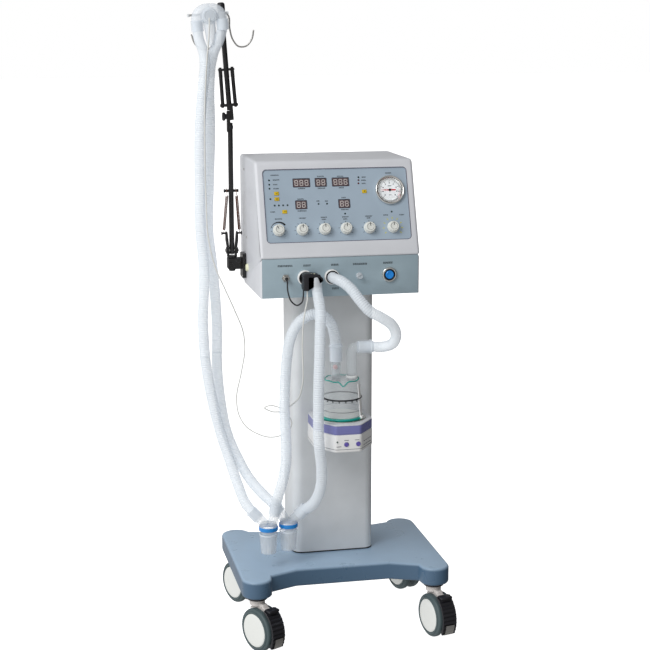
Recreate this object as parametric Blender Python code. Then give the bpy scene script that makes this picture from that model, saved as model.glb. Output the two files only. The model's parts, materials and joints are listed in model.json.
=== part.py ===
"""A ward ventilator on a castored trolley, with its hose arm, humidifier and breathing circuit.

Metres, +Z up, the control panel faces -Y. Run it with blender --background --python part.py, or from
Blender's text editor. Every object is one sub-part. Sizes are written about the trolley's own middle,
and the empty "stand" moves the whole object so that its box is centred on the origin.
"""

import math

import bmesh
import bpy
from mathutils import Matrix, Vector

TOUCH = 0.0003  # the gap that stays between two pieces that touch

# The trolley's own origin in the shared frame. The floor is 11 mm above the trolley's own zero.
STAND = Vector((0.0289, 0.0197, -0.011))

# Trolley
BASE_HALF_WIDTH = 0.222
BASE_TOP = 0.163
BASE_UNDERSIDE = 0.1245
LOBE_X = 0.190
LOBE_FRONT_Y = -0.142
LOBE_REAR_Y = 0.142
LOBE_RADIUS = 0.032
BASE_WALL = 0.006
CELL_WIDTH = 0.090  # the underside is a ribbed casting of two rows of three cells
CELL_DEPTH = 0.098
CELLS_MIDDLE_Y = 0.0115
COLUMN_HALF_WIDTH = 0.088
COLUMN_FRONT = -0.017
COLUMN_REAR = 0.108
COLUMN_WALL = 0.003
COLUMN_ROUND = 0.020

# Casters: twin wheels under each lobe. A turn of 0 puts the wheels' trailing side towards -Y.
WHEEL_RADIUS = 0.046
AXLE_HEIGHT = 0.057
WHEEL_HALF_WIDTH = 0.023
WHEEL_INNER = 0.008
CASTER_TRAIL = 0.016
STEM_RADIUS = 0.0055
STEM_TOP = 0.150
PEDAL_PIN = Vector((0, -0.0445, 0.1007))  # in the caster's own frame
CASTERS = {
    "front_left": (-LOBE_X, LOBE_FRONT_Y, 28.7),
    "front_right": (LOBE_X, LOBE_FRONT_Y, 14.2),
    "rear_left": (-LOBE_X, LOBE_REAR_Y, 24.0),
    "rear_right": (LOBE_X, LOBE_REAR_Y, 18.0),
}

# Console
CONSOLE_HALF_WIDTH = 0.167
CONSOLE_BOTTOM = 0.7395
CONSOLE_TOP = 1.013
CONSOLE_FRONT = -0.0895
CONSOLE_SEAM = 0.125
CONSOLE_REAR = 0.168
CONSOLE_WALL = 0.003
BEZEL_FOOT = Vector((0.0, -0.0925, 0.822))
BEZEL_LENGTH = 0.1985
BEZEL_TILT = math.radians(20)

# Control panel, in the bezel's own plane: x to the right, s up the slope from the bezel's foot
PANEL_WIDTH = 0.302
PANEL_HEIGHT = 0.152
PANEL_MIDDLE = 0.109
PANEL_RECESS = 0.0015
PANEL_THICK = 0.003
KNOB_ROW = 0.0585
KNOBS_X = (-0.126, -0.077, -0.030, 0.015, 0.064, 0.114)
KNOB_RADIUS = 0.0115
KNOB_HEIGHT = 0.0135
GAUGE = (0.1134, 0.137)
GAUGE_RADIUS = 0.028
DISPLAY_HEIGHT = 0.0175
DISPLAYS = (  # x, s, width
    (-0.0717, 0.157, 0.0350),
    (-0.0310, 0.157, 0.0235),
    (0.0104, 0.157, 0.0350),
    (-0.0753, 0.111, 0.0235),
    (0.0151, 0.111, 0.0235),
)
KEYS = ((-0.1251, 0.1357), (-0.1251, 0.1241), (-0.1108, 0.0972), (0.0594, 0.1357))
KEY_SIZE = (0.0094, 0.0072)

# Connections on the lower front
PORT_Z = 0.781
SENSOR_SOCKET_X = -0.1155
EXPIRATORY_X = -0.076
INSPIRATORY_X = -0.020
NIPPLE_X = 0.038
START_X = 0.102
PORT_LENGTH = 0.0095
HOSE_RADIUS = 0.0115
THIN_RADIUS = 0.0015  # sense line and sensor cable
FLOW_SENSOR = Vector((EXPIRATORY_X, CONSOLE_FRONT - 0.0100, PORT_Z))
FLOW_MOUTH = (Vector((0.0180, -0.0150, 0.0)), Vector((0.0192, -0.0180, -0.0165)))

# Hose arm on the left side
ARM_X = -0.1955
ARM_Y = 0.110
ARM_TUBE = 0.0054
SWIVEL_Z = 0.784
TILT_Z = 0.812
ELBOW_Z = 1.097
ARM_TOP = 1.318
ARM_LEAN = math.radians(-4.0)
Y_PIECE = Vector((-0.0335, -0.0520, -0.0100))  # from the arm's top
HOLDER_REACH = 0.0405

# Humidifier on the column's front
HUMIDIFIER_X = -0.002
HUMIDIFIER_Y = -0.105
HUMIDIFIER_BOTTOM = 0.428
HUMIDIFIER_TOP = 0.486
CHAMBER_BOTTOM = 0.492
CHAMBER_TOP = 0.570
OUTLET_PORT_X = -0.0145
INLET_PORT_X = 0.0195
ELBOW_HEIGHT = 0.634
ELBOW_REACH = 0.028
STRAIGHT_PORT_TOP = 0.606
CHAMBER_BORE = 0.0085
PORT_OUTER = 0.0105
HUMIDIFIER_KEYS_X = (-0.004, 0.021)  # from the humidifier's middle

# Water traps hanging from the circuit
TRAPS = {"left": (-0.1575, -0.098, 0.256), "right": (-0.1125, -0.084, 0.256)}
TRAP_RADIUS = 0.0198

COLOURS = {  # base colour, roughness, metallic, alpha
    "base_blue": ((0.19, 0.32, 0.42), 0.45, 0.0, 1.0),
    "column_grey": ((0.50, 0.52, 0.53), 0.45, 0.0, 1.0),
    "shell_grey": ((0.62, 0.63, 0.65), 0.40, 0.0, 1.0),
    "panel_blue": ((0.31, 0.39, 0.44), 0.45, 0.0, 1.0),
    "front_blue": ((0.26, 0.34, 0.39), 0.45, 0.0, 1.0),
    "black_metal": ((0.02, 0.02, 0.02), 0.35, 0.3, 1.0),
    "black_plastic": ((0.02, 0.02, 0.022), 0.45, 0.0, 1.0),
    "tyre_grey": ((0.08, 0.11, 0.12), 0.6, 0.0, 1.0),
    "silver": ((0.60, 0.60, 0.61), 0.30, 1.0, 1.0),
    "white_plastic": ((0.80, 0.80, 0.79), 0.35, 0.0, 1.0),
    "yellow": ((0.60, 0.42, 0.02), 0.45, 0.0, 1.0),
    "blue": ((0.02, 0.22, 0.60), 0.35, 0.0, 1.0),
    "violet": ((0.16, 0.11, 0.35), 0.40, 0.0, 1.0),
    "red": ((0.70, 0.04, 0.04), 0.40, 0.0, 1.0),
    "circuit_green": ((0.02, 0.20, 0.10), 0.50, 0.0, 1.0),
    "clear": ((0.85, 0.90, 0.92), 0.08, 0.0, 0.35),
    "hose": ((0.78, 0.82, 0.88), 0.35, 0.0, 0.7),
}


# ---------------------------------------------------------------- shapes


def as_mesh(bm):
    """The bmesh as a new mesh, with its faces turned outwards."""
    bmesh.ops.recalc_face_normals(bm, faces=bm.faces)
    mesh = bpy.data.meshes.new("shape")
    bm.to_mesh(mesh)
    bm.free()
    return mesh


def block(size, centre=(0, 0, 0), bevel=0.0, segments=1):
    bm = bmesh.new()
    bmesh.ops.create_cube(bm, size=1, matrix=Matrix.LocRotScale(Vector(centre), None, Vector(size)))
    if bevel:
        bmesh.ops.bevel(bm, geom=bm.edges[:], offset=bevel, segments=segments, profile=0.5, affect="EDGES")
    return as_mesh(bm)


def prism(outline, low, high, axis="Z", bevel=0.0, segments=2):
    """An outline drawn in the plane across the axis, extruded from low to high along it."""
    place = {
        "X": lambda u, v, w: (w, u, v),
        "Y": lambda u, v, w: (u, w, v),
        "Z": lambda u, v, w: (u, v, w),
    }[axis]
    bm = bmesh.new()
    face = bm.faces.new([bm.verts.new(place(u, v, low)) for u, v in outline])
    pushed = bmesh.ops.extrude_face_region(bm, geom=[face])
    top = [item for item in pushed["geom"] if isinstance(item, bmesh.types.BMVert)]
    bmesh.ops.translate(bm, vec=place(0, 0, high - low), verts=top)
    if bevel:
        rim = {edge for vert in top for edge in vert.link_edges if edge.other_vert(vert) in top}
        bmesh.ops.bevel(bm, geom=list(rim), offset=bevel, segments=segments, profile=0.5, affect="EDGES")
    return as_mesh(bm)


def turned(profile, segments=24, axis="Z", centre=(0, 0, 0)):
    """A profile of (radius, height) points turned about the axis, and capped where it starts and ends."""
    bm = bmesh.new()
    rings = []
    for radius, height in profile:
        angles = [2 * math.pi * step / segments for step in range(segments)] if radius > 1e-6 else [0.0]
        rings.append([bm.verts.new((radius * math.cos(a), radius * math.sin(a), height)) for a in angles])
    for low, high in zip(rings, rings[1:]):
        for step in range(segments):
            after = (step + 1) % segments
            corners = [low[step % len(low)], low[after % len(low)]]
            corners += [high[after % len(high)], high[step % len(high)]]
            bm.faces.new(list(dict.fromkeys(corners)))
    for end in (rings[0], rings[-1]):
        if len(end) > 1:
            bm.faces.new(end)
    turn = {
        "X": Matrix.Rotation(math.pi / 2, 4, "Y"),
        "Y": Matrix.Rotation(-math.pi / 2, 4, "X"),
        "Z": Matrix(),
    }
    bm.transform(Matrix.Translation(centre) @ turn[axis])
    return as_mesh(bm)


def rod(start, end, radius, segments=12):
    start, end = Vector(start), Vector(end)
    mesh = turned([(radius, 0), (radius, (end - start).length)], segments)
    mesh.transform(Matrix.Translation(start) @ (end - start).to_track_quat("Z", "Y").to_matrix().to_4x4())
    return mesh


def several(meshes):
    """Separate shapes in one mesh, for one cut or one union."""
    bm = bmesh.new()
    for mesh in meshes:
        bm.from_mesh(mesh)
    joined = bpy.data.meshes.new("shape")
    bm.to_mesh(joined)
    bm.free()
    return joined


def combined(first, join=(), cut=()):
    """The first mesh with the others joined to it and cut from it, by exact Booleans."""
    body = bpy.data.objects.new("body", first)
    helpers = []
    bpy.context.scene.collection.objects.link(body)
    for operation, meshes in (("UNION", join), ("DIFFERENCE", cut)):
        for mesh in meshes:
            helper = bpy.data.objects.new("helper", mesh)
            bpy.context.scene.collection.objects.link(helper)
            helpers.append(helper)
            step = body.modifiers.new(operation, "BOOLEAN")
            step.operation = operation
            step.object = helper
    graph = bpy.context.evaluated_depsgraph_get()
    mesh = bpy.data.meshes.new_from_object(body.evaluated_get(graph))
    for obj in [body, *helpers]:
        bpy.data.objects.remove(obj)
    return mesh


def smooth_route(points, spacing):
    """Points about spacing apart on a smooth curve through the route's own points."""
    route = [Vector(point) for point in points]
    times = [0.0]
    for before, after in zip(route, route[1:]):
        times.append(times[-1] + (after - before).length)
    slopes = []
    for i, point in enumerate(route):
        back, ahead = max(i - 1, 0), min(i + 1, len(route) - 1)
        behind = (point - route[back]) / (times[i] - times[back]) if i > back else None
        onward = (route[ahead] - point) / (times[ahead] - times[i]) if ahead > i else None
        if behind is None or onward is None:
            slopes.append(onward or behind)
        else:
            share = (times[ahead] - times[i]) / (times[ahead] - times[back])
            slopes.append(behind * share + onward * (1 - share))
    count = max(round(times[-1] / spacing), 2)
    samples = []
    for step in range(count + 1):
        time = times[-1] * step / count
        i = max(k for k in range(len(route) - 1) if times[k] <= time + 1e-9)
        span = times[i + 1] - times[i]
        u = (time - times[i]) / span
        samples.append(
            route[i] * (2 * u**3 - 3 * u**2 + 1)
            + slopes[i] * (span * (u**3 - 2 * u**2 + u))
            + route[i + 1] * (3 * u**2 - 2 * u**3)
            + slopes[i + 1] * (span * (u**3 - u**2))
        )
    return samples


def tube_curve(name, points, radius, resolution=2):
    curve = bpy.data.curves.new(name, "CURVE")
    curve.dimensions = "3D"
    curve.bevel_depth = radius
    curve.bevel_resolution = resolution
    curve.use_fill_caps = True
    spline = curve.splines.new("POLY")
    spline.points.add(len(points) - 1)
    for point, place in zip(spline.points, points):
        point.co = (*place, 1.0)
    return curve


def swept(points, radius, resolution=2):
    """A bent round bar as a mesh."""
    curve = tube_curve("bar", [Vector(point) for point in points], radius, resolution)
    obj = bpy.data.objects.new("bar", curve)
    bpy.context.scene.collection.objects.link(obj)
    graph = bpy.context.evaluated_depsgraph_get()
    mesh = bpy.data.meshes.new_from_object(obj.evaluated_get(graph))
    bpy.data.objects.remove(obj)
    bm = bmesh.new()
    bm.from_mesh(mesh)
    bmesh.ops.remove_doubles(bm, verts=bm.verts, dist=1e-6)
    return as_mesh(bm)


# ---------------------------------------------------------------- objects


def material(name):
    found = bpy.data.materials.get(name)
    if found:
        return found
    colour, roughness, metallic, alpha = COLOURS[name]
    made = bpy.data.materials.new(name)
    made.use_nodes = True
    shader = made.node_tree.nodes["Principled BSDF"]
    shader.inputs["Base Color"].default_value = (*colour, 1.0)
    shader.inputs["Roughness"].default_value = roughness
    shader.inputs["Metallic"].default_value = metallic
    shader.inputs["Alpha"].default_value = alpha
    made.diffuse_color = (*colour, alpha)
    return made


def empty(name, location, rotation=(0, 0, 0), parent=None):
    made = bpy.data.objects.new(name, None)
    made.location = location
    made.rotation_euler = rotation
    made.parent = parent
    bpy.context.scene.collection.objects.link(made)
    return made


def part(name, data, look, location=(0, 0, 0), rotation=(0, 0, 0), parent=None):
    """One sub-part: its data gets its name and its material, and it stands under its parent."""
    obj = bpy.data.objects.new(name, data)
    obj.location = location
    obj.rotation_euler = rotation
    obj.parent = parent
    data.name = name
    data.materials.clear()
    data.materials.append(material(look))
    if isinstance(data, bpy.types.Mesh):
        data.shade_smooth()
        data.set_sharp_from_angle(angle=math.radians(35))
    bpy.context.scene.collection.objects.link(obj)
    return obj


# ---------------------------------------------------------------- trolley


def arc(centre, radius, start, end, steps):
    """Points on an arc in a plane, from one angle in degrees to the other."""
    angles = [math.radians(start + (end - start) * step / steps) for step in range(steps + 1)]
    return [(centre[0] + radius * math.cos(a), centre[1] + radius * math.sin(a)) for a in angles]


def base_outline(front_edge, rear_edge):
    """The base from above: a round lobe at each corner and a stepped hollow along front and rear."""
    half = []
    lobe_x = BASE_HALF_WIDTH - LOBE_RADIUS
    half += [(0.100, front_edge), (0.158, front_edge - 0.024)]
    half += arc((lobe_x, LOBE_FRONT_Y), LOBE_RADIUS, 205, 360, 6)
    half += arc((lobe_x, LOBE_REAR_Y), LOBE_RADIUS, 0, 155, 6)
    half += [(0.158, rear_edge + 0.014), (0.100, rear_edge)]
    return half + [(-x, y) for x, y in reversed(half)]


def build_base(stand):
    body = prism(base_outline(-0.112, 0.138), BASE_UNDERSIDE, BASE_TOP, bevel=0.005)
    cell_size = (CELL_WIDTH, CELL_DEPTH, 2 * (BASE_TOP - BASE_WALL - BASE_UNDERSIDE))
    cells = []
    for column in (-1, 0, 1):
        for row in (-1, 1):
            x = column * (CELL_WIDTH + BASE_WALL)
            y = CELLS_MIDDLE_Y + row * (CELL_DEPTH + BASE_WALL) / 2
            cells.append(block(cell_size, (x, y, BASE_UNDERSIDE)))
    bore = [(STEM_RADIUS + 0.0006, BASE_UNDERSIDE - 0.005), (STEM_RADIUS + 0.0006, STEM_TOP + 0.0015)]
    stems = [turned(bore, 12, centre=(x, y, 0)) for x, y, _ in CASTERS.values()]
    part("base_frame", combined(body, cut=[several([*cells, *stems])]), "base_blue", parent=stand)


def build_column(stand):
    def outline(inset):
        half = COLUMN_HALF_WIDTH - inset
        radius = COLUMN_ROUND - inset
        front, rear = COLUMN_FRONT + inset, COLUMN_REAR - inset
        points = arc((half - radius, front + radius), radius, -90, 0, 4)
        points += arc((half - radius, rear - radius), radius, 0, 90, 4)
        return points + [(-x, y) for x, y in reversed(points)]

    low, high = BASE_TOP + TOUCH, CONSOLE_BOTTOM - TOUCH
    web = block((COLUMN_WALL, 0.2, 1.0), (0, (COLUMN_FRONT + COLUMN_REAR) / 2, (low + high) / 2))
    room = combined(prism(outline(COLUMN_WALL), low - 0.01, high + 0.01), cut=[web])
    part("column", combined(prism(outline(0), low, high), cut=[room]), "column_grey", parent=stand)


def caster_fork():
    """Swivel stem, round neck and the web that carries the axle between the two wheels."""
    profile = [(STEM_RADIUS, STEM_TOP), (STEM_RADIUS, 0.1240), (0.0175, 0.1240)]
    profile += [(0.0175, 0.1195), (0.0160, 0.1185), (0.0160, 0.1060)]
    neck = turned(profile, 20)
    outline = [(-0.027, 0.112), (0.013, 0.112), (0.013, 0.1065), (-0.004, 0.048)]
    outline += [(-0.028, 0.048), (-0.036, 0.094)]
    web = prism(outline, -0.0062, 0.0062, "X")
    axle = turned([(0.0048, -0.03), (0.0048, 0.03)], 12, "X", (0, -CASTER_TRAIL, AXLE_HEIGHT))
    return combined(neck, join=[web], cut=[axle])


def caster_wheels():
    """Two tyred wheels on one axle, turned about the axle."""
    side = [(0.0, 0.0218), (0.0335, 0.0218), (0.0346, WHEEL_HALF_WIDTH), (0.0395, WHEEL_HALF_WIDTH)]
    side += [(0.0446, 0.0190), (WHEEL_RADIUS, 0.0150), (0.0442, WHEEL_INNER), (0.0040, WHEEL_INNER)]
    profile = side + [(radius, -height) for radius, height in reversed(side)]
    return turned(profile, 24, "X")


def brake_pedal():
    """A ribbed guard that curves round the wheels' trailing side, on a pin at its top."""
    inner, outer = 0.0505, 0.0540
    shell = []
    for step in range(9):
        angle = math.radians(62 - 92 * step / 8)
        for radius, turn in ((outer + 0.0018, angle), (outer, angle - 0.05)):
            shell.append((-radius * math.cos(turn), radius * math.sin(turn)))
    shell += [(-y, z) for y, z in arc((0, 0), inner, -30, 62, 8)]
    guard = prism(shell, -0.0155, 0.0155, "X")
    tab = block((0.026, 0.014, 0.006), (0, -0.0305, 0.0482), 0.001)
    mesh = combined(guard, join=[tab])
    mesh.transform(Matrix.Translation(Vector((0, -CASTER_TRAIL, AXLE_HEIGHT)) - PEDAL_PIN))
    return mesh


def build_casters(stand):
    fork, wheels, pedal = caster_fork(), caster_wheels(), brake_pedal()
    for corner, (x, y, turn) in CASTERS.items():
        swivel = empty(f"{corner}_swivel", (x, y, 0), (0, 0, math.radians(turn)), stand)
        part(f"caster_fork_{corner}", fork.copy(), "silver", parent=swivel)
        axle = (0, -CASTER_TRAIL, AXLE_HEIGHT)
        part(f"caster_wheels_{corner}", wheels.copy(), "tyre_grey", axle, parent=swivel)
        if corner.startswith("front"):
            part(f"brake_pedal_{corner}", pedal.copy(), "black_plastic", PEDAL_PIN, parent=swivel)


# ---------------------------------------------------------------- console


def bezel_point(along, inward):
    """(y, z) of a point so far up the sloping bezel, and so far behind its face."""
    y = BEZEL_FOOT.y + along * math.sin(BEZEL_TILT) + inward * math.cos(BEZEL_TILT)
    z = BEZEL_FOOT.z + along * math.cos(BEZEL_TILT) - inward * math.sin(BEZEL_TILT)
    return y, z


def build_console(stand, panel):
    wall = CONSOLE_WALL
    rear = CONSOLE_SEAM - TOUCH
    head_y, _ = bezel_point(BEZEL_LENGTH, 0)
    outer = [
        (CONSOLE_FRONT, CONSOLE_BOTTOM),
        (CONSOLE_FRONT, BEZEL_FOOT.z - 0.001),
        bezel_point(0, 0),
        bezel_point(BEZEL_LENGTH, 0),
        (head_y + 0.004, CONSOLE_TOP - 0.0015),
        (head_y + 0.012, CONSOLE_TOP),
        (rear, CONSOLE_TOP),
        (rear, CONSOLE_BOTTOM),
    ]
    inner_top = CONSOLE_TOP - wall
    inner = [
        (-0.110, CONSOLE_BOTTOM - 0.01),
        (-0.110, BEZEL_FOOT.z - 0.0015),
        bezel_point(-0.0015, wall),
        bezel_point(BEZEL_LENGTH - 0.002, wall),
        (head_y + 0.012, inner_top),
        (rear + 0.01, inner_top),
        (rear + 0.01, CONSOLE_BOTTOM - 0.01),
    ]
    shell = prism(outer, -CONSOLE_HALF_WIDTH, CONSOLE_HALF_WIDTH, "X")
    hollow = prism(inner, wall - CONSOLE_HALF_WIDTH, CONSOLE_HALF_WIDTH - wall, "X")
    window = block((PANEL_WIDTH, 0.03, PANEL_HEIGHT), (0, 0, PANEL_MIDDLE))
    window.transform(Matrix.Translation(BEZEL_FOOT) @ Matrix.Rotation(-BEZEL_TILT, 4, "X"))
    cover = combined(shell, cut=[hollow, window])
    part("console_cover", cover, "shell_grey", parent=stand)

    low, high = CONSOLE_SEAM, CONSOLE_REAR
    height = CONSOLE_TOP - CONSOLE_BOTTOM
    middle = (CONSOLE_TOP + CONSOLE_BOTTOM) / 2
    rear_lid = block((2 * CONSOLE_HALF_WIDTH, high - low, height), (0, (low + high) / 2, middle), 0.003)
    room_size = (2 * CONSOLE_HALF_WIDTH - 0.008, high - low, height - 0.008)
    rear_room = block(room_size, (0, (low + high) / 2 - 0.004, middle))
    part("rear_housing", combined(rear_lid, cut=[rear_room]), "shell_grey", parent=stand)

    inside = 2 * (CONSOLE_HALF_WIDTH - wall - TOUCH)
    chassis = combined(
        block((inside, 0.207, wall), (0, 0.0190, CONSOLE_BOTTOM + wall / 2)),
        join=[block((inside, wall, 0.09), (0, 0.050, CONSOLE_BOTTOM + 0.046))],
    )
    part("chassis_tray", chassis, "silver", parent=stand)

    plate_height = 0.0785
    plate_middle = (0, CONSOLE_FRONT + wall / 2, CONSOLE_BOTTOM + plate_height / 2 + TOUCH)
    front = block((inside, wall, plate_height), plate_middle, 0.0004)
    holes = [
        turned([(radius, -0.01), (radius, 0.01)], 20, "Y", (x, CONSOLE_FRONT, PORT_Z))
        for x, radius in (
            (SENSOR_SOCKET_X, 0.0053),
            (EXPIRATORY_X, 0.0123),
            (INSPIRATORY_X, 0.0123),
            (NIPPLE_X, 0.0043),
            (START_X, 0.0105),
        )
    ]
    rim = [(0.0150, 0.001), (0.0150, -0.0035), (0.0130, -0.0055)]
    collar = turned(rim, 24, "Y", (START_X, CONSOLE_FRONT, PORT_Z))
    front = combined(front, join=[collar], cut=[several(holes)])
    part("lower_front_panel", front, "front_blue", parent=stand)
    build_ports(stand)
    build_panel(panel)


def build_ports(stand):
    """The gas manifold behind the lower front, and what comes through its holes."""
    face = CONSOLE_FRONT
    manifold = combined(
        block((0.150, 0.050, 0.045), (-0.020, face + 0.055, PORT_Z), 0.002),
        join=[rod((NIPPLE_X, face + 0.035, PORT_Z), (NIPPLE_X, face - 0.012, PORT_Z), 0.0038)],
    )
    part("gas_manifold", manifold, "silver", parent=stand)
    for name, x in (("expiratory_port", EXPIRATORY_X), ("inspiratory_port", INSPIRATORY_X)):
        profile = [(0.0118, 0.0290), (0.0118, -TOUCH), (0.0155, -TOUCH), (0.0155, -0.0080)]
        profile += [(0.0145, -PORT_LENGTH)]
        ring = combined(turned(profile, 24, "Y"), cut=[turned([(0.0095, -0.02), (0.0095, 0.04)], 20, "Y")])
        part(name, ring, "white_plastic", (x, face, PORT_Z), parent=stand)
    profile = [(0.0048, 0.020), (0.0048, -TOUCH), (0.0085, -TOUCH), (0.0085, -0.002)]
    profile += [(0.0050, -0.0025), (0.0050, -0.012)]
    socket = combined(turned(profile, 16, "Y"), join=[block((0.0135, 0.0022, 0.0022), (0, -0.0095, 0))])
    part("sensor_socket", socket, "silver", (SENSOR_SOCKET_X, face, PORT_Z), parent=stand)
    profile = [(0, 0.0100), (0.0100, 0.0100), (0.0100, -0.0055), (0.0090, -0.0065), (0, -0.0065)]
    part("start_button", turned(profile, 24, "Y"), "blue", (START_X, face, PORT_Z), parent=stand)
    sensor = combined(
        block((0.041, 0.026, 0.021), (-0.0645 - EXPIRATORY_X, -0.0135, 0.0020), 0.002),
        join=[
            block((0.011, 0.024, 0.030), (-0.0795 - EXPIRATORY_X, -0.0135, -0.0070), 0.0015),
            rod(*FLOW_MOUTH, 0.0108, 20),
        ],
    )
    part("flow_sensor", sensor, "black_plastic", FLOW_SENSOR, parent=stand)


def build_panel(panel):
    """The control panel and what is mounted in it. Its y runs inwards and its z up the slope."""
    back = PANEL_RECESS + PANEL_THICK
    plate_size = (PANEL_WIDTH - 2 * TOUCH, PANEL_THICK, PANEL_HEIGHT - 2 * TOUCH)
    plate = block(plate_size, (0, (PANEL_RECESS + back) / 2, PANEL_MIDDLE))
    key_hole = (KEY_SIZE[0] + 2 * TOUCH, 0.02, KEY_SIZE[1] + 2 * TOUCH)
    holes = [turned([(0.0038, -0.01), (0.0038, 0.01)], 12, "Y", (x, PANEL_RECESS, KNOB_ROW)) for x in KNOBS_X]
    holes.append(turned([(0.0268, -0.01), (0.0268, 0.01)], 28, "Y", (GAUGE[0], PANEL_RECESS, GAUGE[1])))
    holes += [block((width, 0.02, DISPLAY_HEIGHT), (x, PANEL_RECESS, s)) for x, s, width in DISPLAYS]
    holes += [block(key_hole, (x, PANEL_RECESS, s)) for x, s in KEYS]
    part("control_panel", combined(plate, cut=[several(holes)]), "panel_blue", parent=panel)

    board_y = back + 0.012
    windows = []
    for x, s, width in DISPLAYS:
        size = (width - 0.0008, 0.0160, DISPLAY_HEIGHT - 0.0008)
        windows.append(block(size, (x, PANEL_RECESS + 0.0085, s)))
    board = combined(block((0.135, 0.0016, 0.082), (-0.027, board_y, 0.132)), join=[several(windows)])
    part("display_board", board, "circuit_green", parent=panel)

    profile = [(0, 0.022), (0.0030, 0.022), (0.0030, -0.0008), (KNOB_RADIUS, -0.0008)]
    profile += [(KNOB_RADIUS, -0.0040), (KNOB_RADIUS - 0.0012, 0.0015 - KNOB_HEIGHT)]
    profile += [(KNOB_RADIUS - 0.0026, -KNOB_HEIGHT), (0, -KNOB_HEIGHT)]
    knob = turned(profile, 24, "Y")
    for number, x in enumerate(KNOBS_X, 1):
        part(f"knob_{number}", knob.copy(), "white_plastic", (x, PANEL_RECESS, KNOB_ROW), parent=panel)

    flange = block((KEY_SIZE[0] + 0.002, 0.0015, KEY_SIZE[1] + 0.002), (0, PANEL_THICK + 0.00125, 0))
    key = combined(block((KEY_SIZE[0], 0.0070, KEY_SIZE[1]), (0, 0.0022, 0), 0.0004), join=[flange])
    for number, (x, s) in enumerate(KEYS, 1):
        part(f"key_{number}", key.copy(), "yellow", (x, PANEL_RECESS, s), parent=panel)

    place = (GAUGE[0], PANEL_RECESS, GAUGE[1])
    profile = [(0.0262, 0.032), (0.0262, -TOUCH), (GAUGE_RADIUS, -TOUCH), (GAUGE_RADIUS, -0.0045)]
    profile += [(0.0268, -0.0062)]
    case = combined(turned(profile, 32, "Y"), cut=[turned([(0.0245, -0.02), (0.0245, -0.0008)], 32, "Y")])
    part("gauge_case", case, "silver", place, parent=panel)
    needle = combined(
        prism([(-0.0190, 0), (0.0060, -0.0012), (0.0060, 0.0012)], -0.0026, -0.0018, "Y"),
        join=[turned([(0.0024, -0.0012), (0.0024, -0.0034)], 12, "Y")],
    )
    part("gauge_needle", needle, "red", place, parent=panel)
    lens = turned([(0.0241, -0.0040), (0.0241, -0.0052)], 32, "Y")
    part("gauge_lens", lens, "clear", place, parent=panel)


# ---------------------------------------------------------------- hose arm


def spring_pair(top, foot, reach_top, reach_foot, radius):
    """The outer shapes of two springs, and the bar that joins them in front of the tube."""
    front = -0.0082
    bars = [rod((side * reach_foot, 0, foot), (side * reach_top, front, top), radius, 10) for side in (-1, 1)]
    hanger = rod((-reach_top - 0.002, front, top), (reach_top + 0.002, front, top), 0.0014, 8)
    return combined(hanger, join=bars)


def upper_reach():
    """The upper arm's length from the elbow's axis to its top."""
    return (ARM_TOP - ELBOW_Z) / math.cos(ARM_LEAN)


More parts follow.
